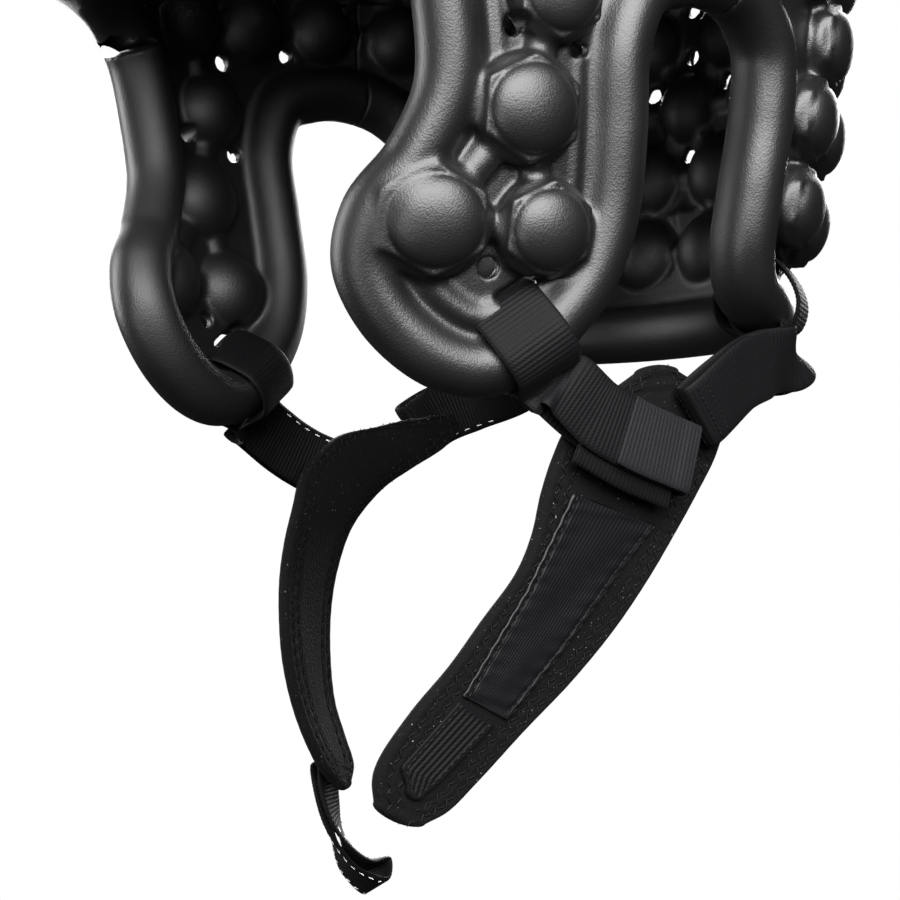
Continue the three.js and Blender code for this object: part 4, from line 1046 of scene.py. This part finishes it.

# Stitches: one tree of geometry nodes lays a thread on each marked spot


def thread_tree():
    tree = bpy.data.node_groups.new("threads_on_spots", "GeometryNodeTree")
    face = tree.interface
    face.new_socket("Spots", in_out="INPUT", socket_type="NodeSocketGeometry")
    for name in ("Stitch length", "Thread width", "Thread height"):
        face.new_socket(name, in_out="INPUT", socket_type="NodeSocketFloat")
    face.new_socket("Thread finish", in_out="INPUT", socket_type="NodeSocketMaterial")
    face.new_socket("Threads", in_out="OUTPUT", socket_type="NodeSocketGeometry")
    given = node(tree, "NodeGroupInput")
    lay = node(tree, "GeometryNodeInputNamedAttribute", [("Name", "lay")], data_type="FLOAT_VECTOR")
    out = node(tree, "GeometryNodeInputNamedAttribute", [("Name", "out")], data_type="FLOAT_VECTOR")
    lifted = node(tree, "FunctionNodeAlignRotationToVector", [("Vector", out.outputs["Attribute"])], axis="Z")
    turned = node(tree, "FunctionNodeAlignRotationToVector", [
        ("Rotation", lifted.outputs[0]), ("Vector", lay.outputs["Attribute"])], axis="X", pivot_axis="Z")
    thread = node(tree, "GeometryNodeMeshUVSphere", [("Segments", 8), ("Rings", 6), ("Radius", 0.5)])
    size = node(tree, "ShaderNodeCombineXYZ", [
        ("X", given.outputs["Stitch length"]), ("Y", given.outputs["Thread width"]),
        ("Z", given.outputs["Thread height"])])
    placed = node(tree, "GeometryNodeInstanceOnPoints", [
        ("Points", given.outputs["Spots"]), ("Instance", thread.outputs["Mesh"]),
        ("Rotation", turned.outputs[0]), ("Scale", size.outputs[0])])
    real = node(tree, "GeometryNodeRealizeInstances", [("Geometry", placed.outputs[0])])
    coated = node(tree, "GeometryNodeSetMaterial", [
        ("Geometry", real.outputs[0]), ("Material", given.outputs["Thread finish"])])
    node(tree, "NodeGroupOutput", [("Threads", coated.outputs[0])])
    return tree


def lay_threads(name, spots, length, width, height, material):
    """Threads in millimetres on rows of centre, direction and outward direction."""
    spots = np.concatenate(spots)
    source = new_object(f"{name}_spots", spots[:, :3], [])
    for key, columns in (("lay", spots[:, 3:6]), ("out", spots[:, 6:9])):
        layer = source.data.attributes.new(key, "FLOAT_VECTOR", "POINT")
        layer.data.foreach_set("vector", columns.ravel().astype(np.float32))
    modifier = source.modifiers.new("threads", "NODES")
    modifier.node_group = threads
    values = {"Stitch length": length * MM, "Thread width": width * MM, "Thread height": height * MM,
              "Thread finish": material}
    for item in threads.interface.items_tree:
        if item.name in values and item.in_out == "INPUT":
            modifier[item.identifier] = values[item.name]
    evaluated = source.evaluated_get(bpy.context.evaluated_depsgraph_get())
    mesh = bpy.data.meshes.new_from_object(evaluated)
    source.modifiers.remove(modifier)
    bpy.data.objects.remove(source)
    mesh.polygons.foreach_set("use_smooth", [True] * len(mesh.polygons))
    return link(name, mesh)


def webbing_finish(name, colour, pitch):
    """Woven polyester webbing: matt, with a fine twill. Its colour is paler along the twill's bands, partly
    the yarn's own tone and partly a painted glint along its ribs.
    """
    material, tree, shader = new_material(name, colour, 0.62)
    shader.inputs["Sheen Weight"].default_value = 0.01
    shader.inputs["Specular IOR Level"].default_value = 0.09
    shader.inputs["Sheen Roughness"].default_value = 0.4
    place = node(tree, "ShaderNodeUVMap", uv_map="cloth").outputs["UV"]
    per_metre = 2 * math.pi / (pitch * MM)
    yarn = node(tree, "ShaderNodeTexWave", [
        ("Vector", place), ("Scale", per_metre / 20 * 2.3), ("Distortion", 1.2)],
        wave_type="BANDS", bands_direction="DIAGONAL")
    fuzz = noise(tree, place, 900.0, 3.0)
    both = node(tree, "ShaderNodeMix", [("Factor", 0.5), (2, yarn.outputs["Fac"]), (3, fuzz)]).outputs[0]
    # Partly painted highlight: the pale end of this ramp colours the twill's bands lighter as a painted glint
    # on the yarn, as well as the yarn's own tone.
    dark, pale = ([share * c for c in linear(colour)[:3]] + [1] for share in (0.45, 2.2))
    tree.links.new(ramp(tree, both, dark, pale), shader.inputs["Base Color"])
    raise_grain(tree, shader, 0.22, 0.0002, both)
    return material


def jersey_finish():
    """Nylon jersey over neoprene: soft and matt, a fine knit with pale flecks of lint."""
    material, tree, shader = new_material("nylon_jersey_on_neoprene", "#0f0f11", 0.85)
    shader.inputs["Sheen Weight"].default_value = 0.01
    shader.inputs["Specular IOR Level"].default_value = 0.08
    shader.inputs["Sheen Roughness"].default_value = 0.5
    place = node(tree, "ShaderNodeTexCoord").outputs["Object"]
    knit = node(tree, "ShaderNodeTexVoronoi", [("Vector", place), ("Scale", 1250.0)])
    cloud = noise(tree, place, 90.0, 4.0)
    lint = noise(tree, place, 1500.0, 1.0)
    fleck = node(tree, "ShaderNodeMapRange", [("Value", lint), ("From Min", 0.735), ("From Max", 0.8)])
    shade = ramp(tree, cloud, linear("#040405"), linear("#080809"))
    tint = node(tree, "ShaderNodeMix", [
        ("Factor", fleck.outputs["Result"]), (6, shade), (7, linear("#6a6a70"))], data_type="RGBA")
    tree.links.new(tint.outputs[2], shader.inputs["Base Color"])
    raise_grain(tree, shader, 0.45, 0.0004, knit.outputs["Distance"])
    return material


def satin_finish():
    """Woven polyester satin: smooth, a broad dull gleam along its floats."""
    material, tree, shader = new_material("woven_polyester_satin", "#141416", 0.42)
    shader.inputs["Specular IOR Level"].default_value = 0.2
    place = node(tree, "ShaderNodeUVMap", uv_map="cloth").outputs["UV"]
    floats = node(tree, "ShaderNodeTexWave", [("Vector", place), ("Scale", 350.0), ("Distortion", 0.5)],
                  wave_type="BANDS", bands_direction="Y")
    cloud = noise(tree, place, 160.0, 3.0)
    shade = ramp(tree, cloud, linear("#050506"), linear("#0b0b0d"))
    tree.links.new(shade, shader.inputs["Base Color"])
    raise_grain(tree, shader, 0.25, 0.0002, floats.outputs["Fac"])
    return material


def thread_finish(name, colour):
    """Twisted polyester sewing thread: a slight sheen broken by its twist."""
    material, tree, shader = new_material(name, colour, 0.55)
    shader.inputs["Specular IOR Level"].default_value = 0.12
    place = node(tree, "ShaderNodeTexCoord").outputs["Object"]
    twist = noise(tree, place, 2600.0, 2.0)
    raise_grain(tree, shader, 0.4, 0.0001, twist)
    rough = node(tree, "ShaderNodeMapRange", [("Value", twist), ("To Min", 0.45), ("To Max", 0.65)])
    tree.links.new(rough.outputs["Result"], shader.inputs["Roughness"])
    return material


threads = thread_tree()
band_cloth = webbing_finish("woven_polyester_webbing", "#050506", 1.2)
ply_cloth = webbing_finish("woven_polyester_tape", "#111113", 1.2)
pile_cloth = webbing_finish("brushed_nylon_pile", "#030303", 1.1)
panel_cloth = webbing_finish("ribbed_polyester_elastic", "#050506", 1.6)
jersey = jersey_finish()
satin = satin_finish()
black_thread = thread_finish("black_polyester_thread", "#0a0a0b")
white_thread = thread_finish("white_polyester_thread", "#c9c9c9")

for made, _, node_name in webbing.values():
    dress(made, node_name, band_cloth)
dress(pile, "pile_strip", pile_cloth)
dress(tab, "pull_tab", band_cloth)
dress(ply, "front_strap_left", ply_cloth)
for made, _, node_name in pads.values():
    dress(made, node_name, jersey)
dress(label, "label_patch", satin)
dress(panel, "ribbed_panel", panel_cloth)

zigzag = []
for made, frames, _ in pads.values():
    for inset in (PAD_SEAM, SECOND_SEAM):
        for from_back in (False, True):
            for face in (1, -1):
                line = seam_line(frames, inset, face, from_back)
                zigzag.append(stitches_along(*line, 1.9, 0.75))
pad_stitches = lay_threads("pad_zigzag_stitches", zigzag, 2.5, 0.42, 0.36, black_thread)

lockstitch = []
for frames, inset in ((label_frames, 1.5), (panel_frames, 1.3)):
    for from_back in (False, True):
        lockstitch.append(stitches_along(*seam_line(frames, inset, 1, from_back), 2.3))
sewn_ends = [frames for name, (_, frames, _) in webbing.items() if name != "front_webbing_left"]
for frames, thickness in ((ply_frames, PLY_THICKNESS), *((frames, WEBBING) for frames in sewn_ends)):
    for back_by in (2.2, 5.2, frames[3] - 2.6, frames[3] - 5.4):
        across_band = band_crossing(frames, back_by, WEBBING_WIDTH / 2 - 1.2, 1, thickness)
        lockstitch.append(stitches_along(*across_band, 1.7))
edge_stitches = lay_threads("black_lock_stitches", lockstitch, 1.7, 0.45, 0.4, black_thread)

white_rows = []
for name, start, end, offset, face in (
    ("rear_webbing_left", 0.68, 0.95, 7.6, -1), ("front_webbing_right", 0.8, 0.95, 7.6, 1),
    ("rear_webbing_right", 0.8, 0.95, 7.6, 1),
):
    frames = webbing[name][1]
    marked = band_line(frames, start * frames[3], end * frames[3], offset, face)
    white_rows.append(stitches_along(*marked, 4.2))
for face, offset in ((1, 4.9), (1, -4.9)):
    white_rows.append(stitches_along(*band_line(tab_frames, 18, tab_frames[3] - 4, offset, face), 3.4))
white_stitches = lay_threads("white_marker_stitches", white_rows, 2.1, 0.45, 0.4, white_thread)
for made, slot_name in (
    (pad_stitches, "pad_fabric"), (edge_stitches, "pad_fabric"), (white_stitches, "webbing"),
):
    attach(made, "root")


# Camera, light and stage

CAMERA_TURN = math.radians(54)
CAMERA_PITCH = math.radians(3.2)
CAMERA_AWAY = 600
CAMERA_LEVEL = -248
FOCAL_SHARE = 2150 / 900  # focal length over the picture's width
SENSOR = 36


def add_camera():
    data = bpy.data.cameras.new("camera")
    data.sensor_width = SENSOR
    data.lens = SENSOR * FOCAL_SHARE
    data.clip_start, data.clip_end = 0.01, 20
    camera = link("camera", data)
    level = Vector((math.sin(CAMERA_TURN), -math.cos(CAMERA_TURN), 0))
    camera.location = (level * CAMERA_AWAY + Vector((0, 0, CAMERA_LEVEL))) * MM
    sight = -level * math.cos(CAMERA_PITCH) + Vector((0, 0, math.sin(CAMERA_PITCH)))
    camera.rotation_mode = "QUATERNION"
    camera.rotation_quaternion = sight.to_track_quat("-Z", "Y")
    bpy.context.scene.camera = camera


def add_light(name, azimuth, elevation, away, size, power, colour="#ffffff"):
    data = bpy.data.lights.new(name, "AREA")
    data.shape = "RECTANGLE"
    data.size, data.size_y = size
    data.energy = power
    data.color = linear(colour)[:3]
    lamp = link(name, data)
    a, e = math.radians(azimuth), math.radians(elevation)
    back = Vector((math.sin(a) * math.cos(e), -math.cos(a) * math.cos(e), math.sin(e)))
    lamp.location = Vector((0, 0, -0.13)) + back * away
    lamp.rotation_mode = "QUATERNION"
    lamp.rotation_quaternion = (-back).to_track_quat("-Z", "Y")


def add_stage():
    """Pale floor that sweeps up all round, seen by the camera alone so that it throws no light back."""
    floor_level, reach, rise, steps = -0.42, 3.0, 3.0, 24
    points, faces = [], []
    around = 48
    for i in range(steps + 1):
        share = i / steps
        radius = reach * min(1, share * 1.6)
        level = floor_level if share < 0.625 else floor_level + rise * ((share - 0.625) / 0.375) ** 2
        for j in range(around):
            a = 2 * math.pi * j / around
            points.append((radius * math.cos(a) / MM, radius * math.sin(a) / MM, level / MM))
    for i in range(steps):
        for j in range(around):
            k = (j + 1) % around
            faces.append((i * around + j, i * around + k, (i + 1) * around + k, (i + 1) * around + j))
    floor = new_object("pale_floor", points, faces)
    material = bpy.data.materials.new("matt_white_paper")
    material.use_nodes = True
    tree = material.node_tree
    tree.nodes.clear()
    glow = node(tree, "ShaderNodeEmission", [("Color", linear("#ffffff")), ("Strength", 1.0)])
    node(tree, "ShaderNodeOutputMaterial", [("Surface", glow.outputs[0])])
    floor.data.materials.append(material)
    floor.visible_diffuse = floor.visible_glossy = floor.visible_shadow = False


def set_world():
    world = bpy.data.worlds.new("studio")
    world.use_nodes = True
    tree = world.node_tree
    tree.nodes.clear()
    eye = node(tree, "ShaderNodeLightPath")
    strength = node(tree, "ShaderNodeMapRange", [
        ("Value", eye.outputs["Is Camera Ray"]), ("To Min", 0.03), ("To Max", 1.0)])
    sky = node(tree, "ShaderNodeBackground", [
        ("Color", linear("#ffffff")), ("Strength", strength.outputs[0])])
    node(tree, "ShaderNodeOutputWorld", [("Surface", sky.outputs[0])])
    bpy.context.scene.world = world


add_camera()
add_light("key_softbox", 64, 26, 1.3, (1.6, 1.2), 100)
add_light("left_softbox", -48, 10, 1.4, (0.5, 1.2), 20)
add_light("low_front_fill", 24, -20, 1.3, (0.5, 0.4), 4)
add_light("back_softbox", 222, 30, 1.5, (1.4, 1.2), 75)
add_light("far_side_softbox", -110, 20, 1.5, (1.0, 1.0), 30)
add_stage()
set_world()
bpy.context.scene.view_settings.view_transform = "Standard"
